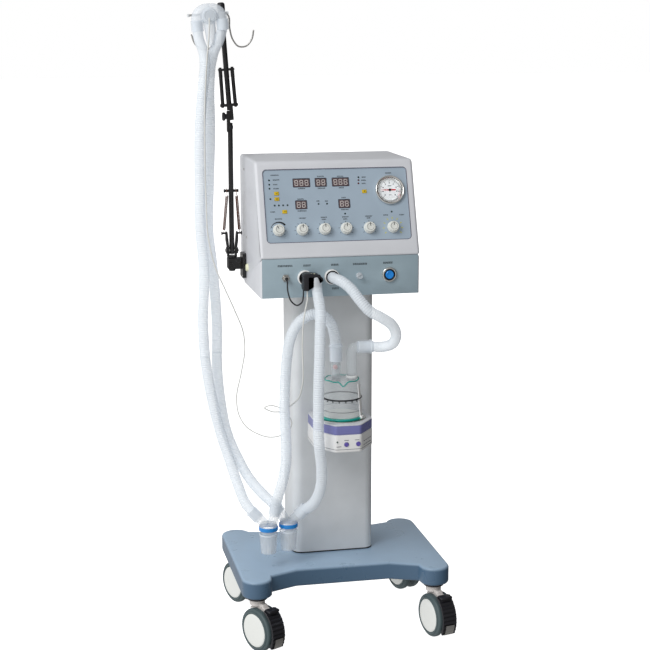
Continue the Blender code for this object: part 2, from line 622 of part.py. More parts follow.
def build_arm(stand):
    plate_x = -CONSOLE_HALF_WIDTH - TOUCH
    bracket = combined(
        block((0.008, 0.036, 0.053), (plate_x - 0.004, ARM_Y, 0.7795), 0.001),
        join=[block((0.032, 0.024, 0.024), (plate_x - 0.0225, ARM_Y, SWIVEL_Z), 0.0015)],
        cut=[turned([(0.0052, -0.05), (0.0052, 0.05)], 16, centre=(ARM_X, ARM_Y, SWIVEL_Z))],
    )
    part("arm_bracket", bracket, "black_metal", parent=stand)

    swivel = empty("arm_swivel_axis", (ARM_X, ARM_Y, TILT_Z), parent=stand)
    drop = SWIVEL_Z - TILT_Z
    post = turned(
        [(0.0070, drop - 0.0165), (0.0070, drop - 0.0125), (0.0046, drop - 0.0125), (0.0046, drop + 0.0125)]
        + [(0.0105, drop + 0.0125), (0.0105, drop + 0.0170)],
        16,
    )
    ears = []
    for side in (-1, 1):
        outline = [(0.0062, -0.013), (0.0105, -0.013), (0.0105, 0.003), (0.0135, 0.022), (0.0135, 0.0405)]
        outline += [(0.0095, 0.0405), (0.0062, 0.008)]
        ears.append(prism([(side * x, z) for x, z in outline], -0.006, 0.006, "Y"))
    pins = [rod((side * 0.0120, 0, 0.0370), (side * 0.0215, 0, 0.0370), 0.0022, 10) for side in (-1, 1)]
    pivot = rod((-0.0130, 0, 0), (0.0130, 0, 0), 0.0019, 10)
    yoke = combined(post, join=[*ears, several(pins), pivot])
    part("arm_yoke", yoke, "black_metal", parent=swivel)

    elbow = ELBOW_Z - TILT_Z
    spring_top = 0.128
    lower = combined(
        turned([(ARM_TUBE, -0.008), (ARM_TUBE, elbow - 0.020)], 16),
        join=[
            rod((-0.0150, 0, spring_top), (0.0150, 0, spring_top), 0.0030, 10),
            block((0.0040, 0.0110, 0.044), (-0.0034, 0, elbow - 0.010), 0.0006),
        ],
        cut=[
            rod((-0.02, 0, 0), (0.02, 0, 0), 0.0025, 12),
            rod((-0.02, 0, elbow), (0.02, 0, elbow), 0.0030, 12),
        ],
    )
    part("lower_arm", lower, "black_metal", parent=swivel)
    springs = spring_pair(spring_top - 0.0055, 0.0425, 0.0100, 0.0170, 0.0030)
    part("lower_springs", springs, "silver", parent=swivel)

    joint = empty("elbow_axis", (0, 0, elbow), (0, ARM_LEAN, 0), swivel)
    reach = upper_reach()
    frame_low, frame_high = 0.024, 0.098
    sleeves = []
    for side in (-1, 1):
        sleeves.append(rod((side * 0.0135, 0, frame_low), (side * 0.0125, 0, frame_high), 0.0040, 10))
    upper = combined(
        turned([(ARM_TUBE, 0.016), (ARM_TUBE, reach)], 16),
        join=[
            block((0.038, 0.009, 0.006), (0, 0, frame_low), 0.0008),
            block((0.034, 0.009, 0.005), (0, 0, frame_high), 0.0008),
            *sleeves,
            block((0.0040, 0.0110, 0.034), (0.0034, 0, 0.009), 0.0006),
        ],
        cut=[rod((-0.02, 0, 0), (0.02, 0, 0), 0.0030, 12)],
    )
    part("upper_arm", upper, "black_metal", parent=joint)
    profile = [(0, 0.0075), (0.0025, 0.0075), (0.0025, -0.0062), (0.0055, -0.0062), (0.0055, -0.0095)]
    profile += [(0.0090, -0.0105), (0.0090, -0.0165), (0, -0.0165)]
    part("elbow_knob", turned(profile, 12, "X"), "black_plastic", (0, 0, elbow), parent=swivel)

    head = empty("hook_head_axis", (0, 0, reach), parent=joint)
    build_hook_head(head)
    return head


def build_hook_head(head):
    """Cap, two wire hooks and the forward rod with the cross bar that holds the circuit's Y-piece."""
    cap = turned([(0.0080, -0.0350), (0.0080, 0.0060), (0.0050, 0.0110), (0, 0.0110)], 16)
    bore = turned([(ARM_TUBE + 0.0004, -0.05), (ARM_TUBE + 0.0004, TOUCH)], 16)
    wires = []
    for side in (-1, 1):
        route = [(0, -0.0045), (0.0085, -0.0055), (0.0110, -0.0100), (0.0115, -0.0350), (0.0165, -0.0600)]
        route += [(0.0270, -0.0740), (0.0420, -0.0750), (0.0560, -0.0620), (0.0620, -0.0420)]
        path = smooth_route([(side * (x + 0.004), 0.0070, z - 0.007) for x, z in route], 0.009)
        wires.append(swept(path, 0.0017))
    bar_x, bar_y, bar_z = Y_PIECE[0], Y_PIECE[1] + 0.0170, Y_PIECE[2]
    neck = [(0, -0.004, -0.020), (-0.010, -0.024, -0.016), (bar_x, bar_y, bar_z)]
    holder = swept(smooth_route(neck, 0.009), 0.0028)
    ends = [(bar_x - HOLDER_REACH, bar_y, bar_z), (bar_x + HOLDER_REACH, bar_y, bar_z)]
    bar = rod(*ends, 0.0022, 10)
    tips = [turned([(0.0032, -0.0025), (0.0032, 0.0025)], 10, "X", end) for end in ends]
    mesh = combined(cap, join=[*wires, holder, bar, several(tips)], cut=[bore])
    part("hook_head", mesh, "black_metal", parent=head)


# ---------------------------------------------------------------- humidifier


def build_humidifier(stand):
    place = (HUMIDIFIER_X, HUMIDIFIER_Y, 0)
    half = [(0.0, -0.066), (0.026, -0.064), (0.050, -0.050), (0.062, -0.026)]
    half += [(0.064, 0.0), (0.064, 0.050), (0.052, 0.066)]
    outline = half + [(-x, y) for x, y in reversed(half[1:])]
    low, high = HUMIDIFIER_BOTTOM, HUMIDIFIER_TOP
    column_face = COLUMN_FRONT - TOUCH - HUMIDIFIER_Y
    key_z = low + 0.017
    hole = [(0.0052, -0.09), (0.0052, -0.048)]
    key_holes = [turned(hole, 16, "Y", (x, 0, key_z)) for x in HUMIDIFIER_KEYS_X]
    base = combined(
        prism(outline, low, high, bevel=0.004),
        join=[block((0.060, column_face - 0.060, 0.050), (0, (column_face + 0.060) / 2, low + 0.028))],
        cut=[several(key_holes), turned([(0.0475, high - 0.0015), (0.0475, high + 0.02)], 32)],
    )
    part("humidifier_base", base, "white_plastic", place, parent=stand)
    key = turned([(0, 0.0115), (0.0045, 0.0115), (0.0045, -0.0012), (0.0035, -0.0020), (0, -0.0020)], 16, "Y")
    for number, x in enumerate(HUMIDIFIER_KEYS_X, 1):
        location = (HUMIDIFIER_X + x, HUMIDIFIER_Y - 0.0640, key_z)
        part(f"humidifier_key_{number}", key.copy(), "violet", location, parent=stand)
    build_chamber(stand)


def build_chamber(stand):
    """The clear water chamber: a hollow tapered pot on a metal plate, with a straight and an elbowed port."""
    low, high = CHAMBER_BOTTOM, CHAMBER_TOP
    foot = HUMIDIFIER_TOP - 0.0015 + TOUCH
    left = OUTLET_PORT_X - HUMIDIFIER_X
    right = INLET_PORT_X - HUMIDIFIER_X
    profile = [(0.0465, foot), (0.0465, low), (0.0430, low + 0.002), (0.0385, high - 0.008), (0.0330, high)]
    room = turned([(0.0405, low + 0.003), (0.0365, high - 0.010), (0.0310, high - 0.0030)], 28)
    bend = [(right, 0, ELBOW_HEIGHT - 0.010), (right + 0.003, 0, ELBOW_HEIGHT - 0.003)]
    bend += [(right + 0.010, 0, ELBOW_HEIGHT)]
    end = (right + ELBOW_REACH, 0, ELBOW_HEIGHT)
    elbow = swept([(right, 0, high - 0.006), *bend, end], PORT_OUTER, 3)
    past_end = (right + 0.040, 0, ELBOW_HEIGHT)
    elbow_bore = swept([(right, 0, high - 0.009), *bend, past_end], CHAMBER_BORE, 3)
    straight = turned([(PORT_OUTER, high - 0.006), (PORT_OUTER, STRAIGHT_PORT_TOP)], 20, centre=(left, 0, 0))
    straight_bore = turned([(CHAMBER_BORE, high - 0.009), (CHAMBER_BORE, 0.63)], 20, centre=(left, 0, 0))
    mesh = combined(turned(profile, 28), join=[elbow, straight], cut=[room, elbow_bore, straight_bore])
    part("humidifier_chamber", mesh, "clear", (HUMIDIFIER_X, HUMIDIFIER_Y, 0), parent=stand)


# ---------------------------------------------------------------- circuit


def trap_ports(side):
    """(start, end) of the two ports on a trap's head: one leans left and one leans right."""
    if side == "left":
        return ((-0.006, 0, 0.006), (-0.0230, 0.004, 0.0230)), ((0.0085, 0, 0.004), (0.0130, -0.004, 0.0330))
    return ((-0.004, 0, 0.004), (-0.0200, 0.006, 0.0290)), ((0.006, 0, 0.004), (0.0240, -0.006, 0.0225))


def build_traps(stand):
    for side, place in TRAPS.items():
        profile = [(0, -0.0130), (TRAP_RADIUS, -0.0130), (TRAP_RADIUS, 0.0020), (0.0150, 0.0090), (0, 0.0090)]
        head = turned(profile, 24)
        ports = [rod(start, end, HOSE_RADIUS - 0.0010, 14) for start, end in trap_ports(side)]
        part(f"trap_head_{side}", combined(head, join=ports), "clear", place, parent=stand)
        top = -0.0130 - TOUCH
        cup = combined(
            turned([(0.0150, -0.0600), (0.0165, -0.0585), (0.0192, top)], 24),
            cut=[turned([(0.0145, -0.0575), (0.0178, top + 0.01)], 24)],
        )
        part(f"trap_cup_{side}", cup, "clear", place, parent=stand)


def lead(start, end):
    """A hose's first two points, straight out of a port that runs from start to end."""
    way = (Vector(end) - Vector(start)).normalized()
    return [Vector(end) + way * TOUCH, Vector(end) + way * 0.012]


def trap_lead(side, which):
    place = Vector(TRAPS[side])
    return lead(*(place + Vector(point) for point in trap_ports(side)[which]))


def y_branch(side):
    """A branch of the Y-piece, about its middle: out from the hub and round a bend to point down."""
    route = [(0.002, 0.0040), (0.012, 0.0075), (0.0200, 0.0060), (0.0250, 0.0005), (0.0262, -0.0060)]
    return [Vector((side * x, 0, z)) for x, z in [*route, (0.0262, -0.0120)]]


def y_lead(side):
    """The same branch's lead in the trolley's frame, up the leaning arm."""
    lean = Matrix.Rotation(ARM_LEAN, 3, "Y")
    top = Vector((ARM_X, ARM_Y, ELBOW_Z)) + lean @ Vector((0, 0, upper_reach()))
    return lead(*(top + lean @ (Y_PIECE + point) for point in y_branch(side)[-2:]))


def build_circuit(stand, head):
    y_piece = combined(
        turned([(0.0125, -0.0150), (0.0125, 0.0120), (0.0090, 0.0140)], 20, "Y"),
        join=[swept(y_branch(side), 0.0105, 3) for side in (-1, 1)],
    )
    part("y_piece", y_piece, "clear", Y_PIECE, parent=head)
    for name, (route, radius) in circuit_routes().items():
        look = "black_plastic" if name == "sensor_cable" else "hose"
        part(name, tube_curve(name, cord_points(route, radius), radius), look, parent=stand)


def cord_points(route, radius):
    """The ends' short straight leads, and a smooth curve between them."""
    length = sum((after - before).length for before, after in zip(map(Vector, route), map(Vector, route[1:])))
    spacing = max(2.6 * radius, 0.009, length / 72)
    return [Vector(route[0]), *smooth_route(route[1:-1], spacing), Vector(route[-1])]


def circuit_routes():
    """Each cord's route and radius, from the piece that it comes out of."""
    port_end = (INSPIRATORY_X, CONSOLE_FRONT - PORT_LENGTH, PORT_Z)
    port = lead((INSPIRATORY_X, CONSOLE_FRONT, PORT_Z), port_end)
    elbow_end = INLET_PORT_X + ELBOW_REACH
    elbow = lead((elbow_end - 0.01, HUMIDIFIER_Y, ELBOW_HEIGHT), (elbow_end, HUMIDIFIER_Y, ELBOW_HEIGHT))
    straight_end = (OUTLET_PORT_X, HUMIDIFIER_Y, STRAIGHT_PORT_TOP)
    straight = lead((OUTLET_PORT_X, HUMIDIFIER_Y, CHAMBER_TOP), straight_end)
    expiratory = [
        *lead(*(FLOW_SENSOR + point for point in FLOW_MOUTH)),
        (-0.0540, -0.136, 0.725), (-0.058, -0.154, 0.664), (-0.065, -0.172, 0.543), (-0.064, -0.173, 0.446),
        (-0.057, -0.163, 0.396), (-0.056, -0.150, 0.354), (-0.062, -0.132, 0.321), (-0.071, -0.111, 0.299),
        *reversed(trap_lead("right", 1)),
    ]
    inlet = [
        *port,
        (-0.008, -0.127, 0.777), (0.008, -0.142, 0.764), (0.024, -0.155, 0.742), (0.043, -0.163, 0.720),
        (0.068, -0.163, 0.705), (0.091, -0.156, 0.688), (0.103, -0.145, 0.664), (0.099, -0.130, 0.643),
        (0.082, -0.114, 0.634),
        *reversed(elbow),
    ]
    outlet = [
        *straight,
        (-0.0150, -0.105, 0.641), (-0.018, -0.105, 0.666), (-0.027, -0.102, 0.690), (-0.045, -0.097, 0.704),
        (-0.063, -0.094, 0.704), (-0.082, -0.090, 0.694), (-0.097, -0.086, 0.675), (-0.107, -0.083, 0.648),
        (-0.112, -0.081, 0.618), (-0.117, -0.080, 0.555), (-0.119, -0.084, 0.500), (-0.119, -0.095, 0.452),
        (-0.122, -0.112, 0.400), (-0.131, -0.120, 0.360), (-0.140, -0.115, 0.326),
        *reversed(trap_lead("left", 1)),
    ]
    limb_left = [
        *y_lead(-1),
        (-0.2660, 0.053, 1.258), (-0.2580, 0.048, 1.234), (-0.2555, 0.044, 1.208),
        (-0.261, 0.040, 1.165), (-0.270, 0.034, 1.074), (-0.273, 0.028, 0.972), (-0.274, 0.022, 0.869),
        (-0.269, 0.016, 0.790), (-0.274, 0.006, 0.665), (-0.270, 0.000, 0.586), (-0.259, -0.006, 0.512),
        (-0.244, -0.014, 0.443), (-0.229, -0.030, 0.390), (-0.214, -0.056, 0.337), (-0.202, -0.079, 0.304),
        *reversed(trap_lead("left", 0)),
    ]
    limb_right = [
        *y_lead(1),
        (-0.2225, 0.063, 1.258), (-0.2330, 0.069, 1.234), (-0.2400, 0.072, 1.208),
        (-0.244, 0.069, 1.164), (-0.245, 0.062, 1.072), (-0.250, 0.056, 0.969), (-0.254, 0.050, 0.864),
        (-0.247, 0.044, 0.785), (-0.241, 0.034, 0.658), (-0.243, 0.028, 0.579), (-0.238, 0.020, 0.504),
        (-0.227, 0.008, 0.437), (-0.208, -0.010, 0.386), (-0.184, -0.036, 0.341), (-0.157, -0.061, 0.311),
        *reversed(trap_lead("right", 0)),
    ]
    sense = [
        (-0.0765, -0.1180, 0.7587), (-0.077, -0.122, 0.741), (-0.085, -0.122, 0.699), (-0.087, -0.118, 0.646),
        (-0.085, -0.105, 0.559), (-0.091, -0.075, 0.520), (-0.113, -0.055, 0.499), (-0.146, -0.050, 0.505),
        (-0.155, -0.048, 0.501), (-0.141, -0.048, 0.492), (-0.112, -0.050, 0.488), (-0.097, -0.048, 0.462),
        (-0.118, -0.048, 0.440), (-0.146, -0.046, 0.436), (-0.169, -0.040, 0.443), (-0.192, -0.030, 0.458),
        (-0.206, -0.018, 0.485), (-0.208, -0.010, 0.512), (-0.195, 0.000, 0.570), (-0.187, 0.004, 0.616),
        (-0.189, 0.006, 0.650), (-0.207, 0.006, 0.700), (-0.225, 0.004, 0.742), (-0.248, -0.002, 0.796),
        (-0.261, 0.002, 0.860), (-0.263, 0.008, 0.932), (-0.263, 0.014, 1.034), (-0.260, 0.020, 1.136),
        (-0.254, 0.026, 1.216), (-0.248, 0.034, 1.266), (-0.246, 0.0380, 1.290), (-0.2455, 0.0412, 1.301),
    ]
    cable = [
        (SENSOR_SOCKET_X, CONSOLE_FRONT - 0.0120 - TOUCH, PORT_Z), (SENSOR_SOCKET_X, -0.1060, PORT_Z),
        (-0.115, -0.113, 0.755), (-0.108, -0.114, 0.736), (-0.096, -0.113, 0.728), (-0.086, -0.111, 0.734),
        (-0.0825, -0.1085, 0.748), (-0.0825, -0.1085, 0.7587),
    ]
    return {
        "hose_expiratory": (expiratory, HOSE_RADIUS),
        "hose_humidifier_inlet": (inlet, HOSE_RADIUS),
        "hose_humidifier_outlet": (outlet, HOSE_RADIUS),
        "patient_limb_left": (limb_left, HOSE_RADIUS),
        "patient_limb_right": (limb_right, HOSE_RADIUS),
        "sense_line": (sense, THIN_RADIUS),
        "sensor_cable": (cable, THIN_RADIUS),
    }


# ---------------------------------------------------------------- the whole object


def clear_scene():
    for obj in list(bpy.data.objects):
        bpy.data.objects.remove(obj)


def main():
    clear_scene()
    stand = empty("stand", STAND)
    panel = empty("panel_frame", BEZEL_FOOT, (-BEZEL_TILT, 0, 0), stand)
    build_base(stand)
    build_column(stand)
    build_casters(stand)
    build_console(stand, panel)
    head = build_arm(stand)
    build_humidifier(stand)
    build_traps(stand)
    build_circuit(stand, head)


main()
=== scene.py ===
"""The looks of a ward ventilator: shells, control panel, hose arm, humidifier, circuit and casters.

Metres, +Z up, in the frame's own coordinates. Places come from the frame's joints and boxes, and the
sizes below repeat the part's own. Lengths along the control panel are in the panel's plane.
"""

import json
import math
import random

import bmesh
import bpy
from mathutils import Matrix, Vector


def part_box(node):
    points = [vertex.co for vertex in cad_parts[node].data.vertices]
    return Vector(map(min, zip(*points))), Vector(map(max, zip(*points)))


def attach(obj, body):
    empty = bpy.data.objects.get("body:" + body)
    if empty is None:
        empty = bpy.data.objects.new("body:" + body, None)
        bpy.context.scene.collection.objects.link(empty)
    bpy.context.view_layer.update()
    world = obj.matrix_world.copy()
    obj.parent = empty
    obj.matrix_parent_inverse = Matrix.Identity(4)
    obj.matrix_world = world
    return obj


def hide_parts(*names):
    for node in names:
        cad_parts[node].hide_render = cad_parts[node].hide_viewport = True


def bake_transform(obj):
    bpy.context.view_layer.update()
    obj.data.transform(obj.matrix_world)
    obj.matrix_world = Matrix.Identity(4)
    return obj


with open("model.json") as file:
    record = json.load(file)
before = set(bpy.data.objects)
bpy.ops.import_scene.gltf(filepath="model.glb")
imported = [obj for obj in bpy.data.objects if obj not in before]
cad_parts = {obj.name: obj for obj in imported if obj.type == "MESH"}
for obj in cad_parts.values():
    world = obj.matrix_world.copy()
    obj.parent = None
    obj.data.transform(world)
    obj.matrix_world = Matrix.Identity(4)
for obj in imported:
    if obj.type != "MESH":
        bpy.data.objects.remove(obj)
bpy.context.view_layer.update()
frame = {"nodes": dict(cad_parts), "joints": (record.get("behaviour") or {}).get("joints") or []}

JOINTS = {joint["name"]: joint for joint in frame["joints"]}
CORNERS = ("front_left", "front_right", "rear_left", "rear_right")

# ---------------------------------------------------------------- places from the frame

shell_low, shell_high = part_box("console_cover")
rear_low, rear_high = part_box("rear_housing")
base_low, base_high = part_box("base_frame")
HALF_WIDTH = (shell_high.x - shell_low.x) / 2
CONSOLE_BOTTOM, CONSOLE_REAR = 0.7395, 0.168
MIDDLE = Vector(((shell_low.x + shell_high.x) / 2, rear_high.y - CONSOLE_REAR, shell_low.z - CONSOLE_BOTTOM))
CONSOLE_TOP = shell_high.z - MIDDLE.z
CONSOLE_FRONT = -0.0895
CONSOLE_SEAM = rear_low.y - MIDDLE.y
PORT_Z = sum(corner.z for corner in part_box("inspiratory_port")) / 2 - MIDDLE.z

# Control panel, in the bezel's own plane: x to the right, s up the slope
BEZEL_LENGTH = 0.1985
PANEL_WIDTH, PANEL_HEIGHT, PANEL_MIDDLE = 0.302, 0.152, 0.109
PANEL_RECESS, PANEL_THICK, PANEL_CORNER = 0.0015, 0.003, 0.0070
KNOB_ROW = 0.0585
KNOBS_X = (-0.126, -0.077, -0.030, 0.015, 0.064, 0.114)
GAUGE = (0.1134, 0.137)
DISPLAY_HEIGHT = 0.0175
DISPLAYS = (  # x, s, width, digits
    (-0.0717, 0.157, 0.0350, 3),
    (-0.0310, 0.157, 0.0235, 2),
    (0.0104, 0.157, 0.0350, 3),
    (-0.0753, 0.111, 0.0235, 2),
    (0.0151, 0.111, 0.0235, 2),
)
KEYS = ((-0.1251, 0.1357), (-0.1251, 0.1241), (-0.1108, 0.0972), (0.0594, 0.1357))
GREEN_LAMPS = (
    (-0.1386, 0.1637), (-0.1388, 0.1547), (-0.1389, 0.1464), (-0.1384, 0.1244),
    (-0.1306, 0.1108), (-0.1219, 0.1108), (-0.1130, 0.1108), (-0.1039, 0.1108),
    (-0.0391, 0.1118), (-0.0213, 0.1118), (0.0150, 0.0899), (0.0490, 0.1658), (0.1139, 0.0911),
)
RED_LAMPS = ((0.0486, 0.1599), (0.0481, 0.1531))

# Ports, hoses and arm
SENSOR_SOCKET_X, EXPIRATORY_X, INSPIRATORY_X, NIPPLE_X, START_X = -0.1155, -0.076, -0.020, 0.038, 0.102
HOSE_RADIUS = 0.0115
THIN_RADIUS = 0.0015  # of the sense line and the sensor cable
PITCH = 0.0046  # from one corrugation to the next
ARM_TUBE = 0.0054  # the radius of both arm tubes
Y_PIECE = Vector((-0.0335, -0.0520, -0.0100))  # from the arm's top
HOLDER_REACH = 0.0405
FLOW_SENSOR = Vector((EXPIRATORY_X, CONSOLE_FRONT - 0.0100, PORT_Z))
FLOW_MOUTH = (Vector((0.0180, -0.0150, 0.0)), Vector((0.0192, -0.0180, -0.0165)))
TOUCH = 0.0003


def joint_place(name):
    return Vector(JOINTS[name]["pos_m"])


def joint_axis(name):
    return Vector(JOINTS[name]["axis"])


def at(x, y, z):
    """A point given from the trolley's middle."""
    return MIDDLE + Vector((x, y, z))


def frame_at(origin, x_axis, y_axis):
    """A matrix that places a shape by its own x and y directions."""
    z_axis = x_axis.cross(y_axis)
    turn = Matrix((x_axis, y_axis, z_axis)).transposed().to_4x4()
    return Matrix.Translation(origin) @ turn


TROLLEY = Matrix.Translation(MIDDLE)
INWARD = joint_axis("knob_1_turn").normalized()
SLOPE = Vector((1, 0, 0)).cross(INWARD)
KNOB_LINE = joint_place("knob_1_turn") - Vector((KNOBS_X[0], 0, 0))
PANEL_FOOT = KNOB_LINE - SLOPE * KNOB_ROW - INWARD * PANEL_RECESS
PANEL = frame_at(PANEL_FOOT, Vector((1, 0, 0)), INWARD)

ARM_AXIS = joint_place("arm_swivel") - MIDDLE
TILT_Z = joint_place("arm_tilt").z
ELBOW = joint_place("elbow_tilt")
ARM_TOP = joint_place("hook_head_turn")
LEAN = joint_axis("hook_head_turn").normalized()
LEANING = (Vector((LEAN.z, 0, -LEAN.x)), Vector((0, 1, 0)))
ARM = Matrix.Translation(joint_place("arm_tilt"))
UPPER_ARM = frame_at(ELBOW, *LEANING)
HEAD = frame_at(ARM_TOP, *LEANING)

# ---------------------------------------------------------------- shapes


def add_object(name, data):
    made = bpy.data.objects.new(name, data)
    bpy.context.scene.collection.objects.link(made)
    return made


def as_mesh(bm):
    bmesh.ops.recalc_face_normals(bm, faces=bm.faces)
    mesh = bpy.data.meshes.new("shape")
    bm.to_mesh(mesh)
    bm.free()
    return mesh


def moved(mesh, matrix):
    """The mesh, moved by a matrix or by a plain offset."""
    mesh.transform(matrix if isinstance(matrix, Matrix) else Matrix.Translation(matrix))
    return mesh


def placed_by(matrix, shapes):
    """(mesh, look) shapes, all moved by one matrix."""
    return [(moved(mesh, matrix), look) for mesh, look in shapes]


def spin(degrees, axis):
    return Matrix.Rotation(math.radians(degrees), 4, axis)


def block(size, centre=(0, 0, 0), bevel=0.0, segments=3):
    bm = bmesh.new()
    bmesh.ops.create_cube(bm, size=1, matrix=Matrix.LocRotScale(Vector(centre), None, Vector(size)))
    if bevel:
        bmesh.ops.bevel(bm, geom=bm.edges[:], offset=bevel, segments=segments, profile=0.5, affect="EDGES")
    return as_mesh(bm)


def prism(outline, low, high, axis="Z", bevel=0.0, segments=3):
    """An outline drawn across the axis, extruded from low to high along it, with round rims."""
    place = {
        "X": lambda u, v, w: (w, u, v),
        "Y": lambda u, v, w: (u, w, v),
        "Z": lambda u, v, w: (u, v, w),
    }[axis]
    bm = bmesh.new()
    face = bm.faces.new([bm.verts.new(place(u, v, low)) for u, v in outline])
    foot = list(face.edges)
    pushed = bmesh.ops.extrude_face_region(bm, geom=[face])
    top = [item for item in pushed["geom"] if isinstance(item, bmesh.types.BMVert)]
    rim = [item for item in pushed["geom"] if isinstance(item, bmesh.types.BMEdge)]
    bmesh.ops.translate(bm, vec=place(0, 0, high - low), verts=top)
    if bevel:
        bmesh.ops.bevel(bm, geom=rim + foot, offset=bevel, segments=segments, profile=0.5, affect="EDGES")
    return as_mesh(bm)


def rounded_edges(mesh, radius, chosen, segments=6):
    """The mesh with each edge that chosen picks by its two ends rounded off."""
    bm = bmesh.new()
    bm.from_mesh(mesh)
    edges = [edge for edge in bm.edges if chosen(edge.verts[0].co, edge.verts[1].co)]
    bmesh.ops.bevel(bm, geom=edges, offset=radius, segments=segments, profile=0.5, affect="EDGES")
    return as_mesh(bm)


def arc(centre, radius, start, end, steps):
    """Points on an arc in a plane, from one angle in degrees to the other."""
    angles = [math.radians(start + (end - start) * step / steps) for step in range(steps + 1)]
    return [(centre[0] + radius * math.cos(a), centre[1] + radius * math.sin(a)) for a in angles]


def round_corners(outline, radii, steps=5):
    """The outline with its corners rounded: one radius for all, or one for each."""
    points = [Vector(point) for point in outline]
    radii = radii if isinstance(radii, (list, tuple)) else [radii] * len(points)
    made = []
    for i, corner in enumerate(points):
        back = (points[i - 1] - corner).normalized()
        ahead = (points[(i + 1) % len(points)] - corner).normalized()
        half = back.angle(ahead) / 2
        if radii[i] <= 0:
            made.append(tuple(corner))
            continue
        start, end = corner + back * radii[i] / math.tan(half), corner + ahead * radii[i] / math.tan(half)
        centre = corner + (back + ahead).normalized() * radii[i] / math.sin(half)
        for step in range(steps + 1):
            point = start.lerp(end, step / steps) - centre
            made.append(tuple(centre + point.normalized() * radii[i]))
    return made


def rounded_rectangle(width, height, radius, centre=(0, 0)):
    x, y = width / 2, height / 2
    outline = [(-x, -y), (x, -y), (x, y), (-x, y)]
    return round_corners([(centre[0] + u, centre[1] + v) for u, v in outline], radius)


AXIS_TURN = {
    "X": Matrix.Rotation(math.pi / 2, 4, "Y"),
    "Y": Matrix.Rotation(-math.pi / 2, 4, "X"),
    "Z": Matrix(),
}


def turned(profile, segments=48, axis="Z", centre=(0, 0, 0), closed=False, wave=None):
    """A profile of (radius, height) points turned about the axis. A closed profile makes a hollow piece.
    wave gives a factor on the radius for an angle and a height, for flutes and ribs."""
    bm = bmesh.new()
    rings = []
    for radius, height in profile:
        angles = [2 * math.pi * step / segments for step in range(segments)] if radius > 1e-6 else [0.0]
        ring = []
        for a in angles:
            r = radius * (wave(a, height) if wave else 1.0)
            ring.append(bm.verts.new((r * math.cos(a), r * math.sin(a), height)))
        rings.append(ring)
    pairs = list(zip(rings, rings[1:]))
    if closed:
        pairs.append((rings[-1], rings[0]))
    for low, high in pairs:
        for step in range(segments):
            after = (step + 1) % segments
            corners = [low[step % len(low)], low[after % len(low)]]
            corners += [high[after % len(high)], high[step % len(high)]]
            corners = list(dict.fromkeys(corners))
            if len(corners) > 2:
                bm.faces.new(corners)
    if not closed:
        for end in (rings[0], rings[-1]):
            if len(end) > 1:
                bm.faces.new(end)
    bm.transform(Matrix.Translation(centre) @ AXIS_TURN[axis])
    return as_mesh(bm)


def ring(inner, outer, low, high, bevel=0.0, segments=48, axis="Z", centre=(0, 0, 0)):
    """A ring with a rectangular section and, if asked, small chamfers."""
    b = bevel
    profile = [(inner + b, low), (outer - b, low), (outer, low + b), (outer, high - b)]
    profile += [(outer - b, high), (inner + b, high), (inner, high - b), (inner, low + b)]
    if not b:
        profile = [(inner, low), (outer, low), (outer, high), (inner, high)]
    return turned(profile, segments, axis, centre, closed=True)


def tube(points, radii, sides=24):
    """A mesh tube through the points, with one radius or one for each point."""
    points = [Vector(point) for point in points]
    radii = radii if isinstance(radii, (list, tuple)) else [radii] * len(points)
    bm = bmesh.new()
    ways = []
    for i in range(len(points)):
        ways.append((points[min(i + 1, len(points) - 1)] - points[max(i - 1, 0)]).normalized())
    side = ways[0].orthogonal().normalized()
    rings = []
    for point, way, radius in zip(points, ways, radii):
        side = (side - way * side.dot(way)).normalized()
        other = way.cross(side)
        around = []
        for step in range(sides):
            angle = 2 * math.pi * step / sides
            around.append(bm.verts.new(point + (side * math.cos(angle) + other * math.sin(angle)) * radius))
        rings.append(around)
    for low, high in zip(rings, rings[1:]):
        for step in range(sides):
            after = (step + 1) % sides
            bm.faces.new([low[step], low[after], high[after], high[step]])
    bm.faces.new(rings[0][::-1])
    bm.faces.new(rings[-1])
    return as_mesh(bm)


def rod(start, end, radius, sides=24, round_end=0.0):
    """A straight round bar, with its ends rounded off if asked."""
    start, end = Vector(start), Vector(end)
    length = (end - start).length
    r = round_end
    if r:
        profile = [(0, 0), (radius - r, 0), (radius - 0.3 * r, 0.3 * r), (radius, r)]
        profile += [(radius, length - r), (radius - 0.3 * r, length - 0.3 * r), (radius - r, length),
                    (0, length)]
    else:
        profile = [(radius, 0), (radius, length)]
    turn = (end - start).to_track_quat("Z", "Y").to_matrix().to_4x4()
    return moved(turned(profile, sides), Matrix.Translation(start) @ turn)


def combined(first, join=(), cut=()):
    """The first mesh with the others joined to it and cut from it, by exact Booleans."""
    body = add_object("body", first)
    helpers = []
    for operation, meshes in (("UNION", join), ("DIFFERENCE", cut)):
        for mesh in meshes:
            helpers.append(add_object("helper", mesh))
            step = body.modifiers.new(operation, "BOOLEAN")
            step.operation = operation
            step.object = helpers[-1]
    graph = bpy.context.evaluated_depsgraph_get()
    mesh = bpy.data.meshes.new_from_object(body.evaluated_get(graph))
    for obj in [body, *helpers]:
        bpy.data.objects.remove(obj)
    return mesh


def several(meshes):
    bm = bmesh.new()
    for mesh in meshes:
        bm.from_mesh(mesh)
    return as_mesh(bm)


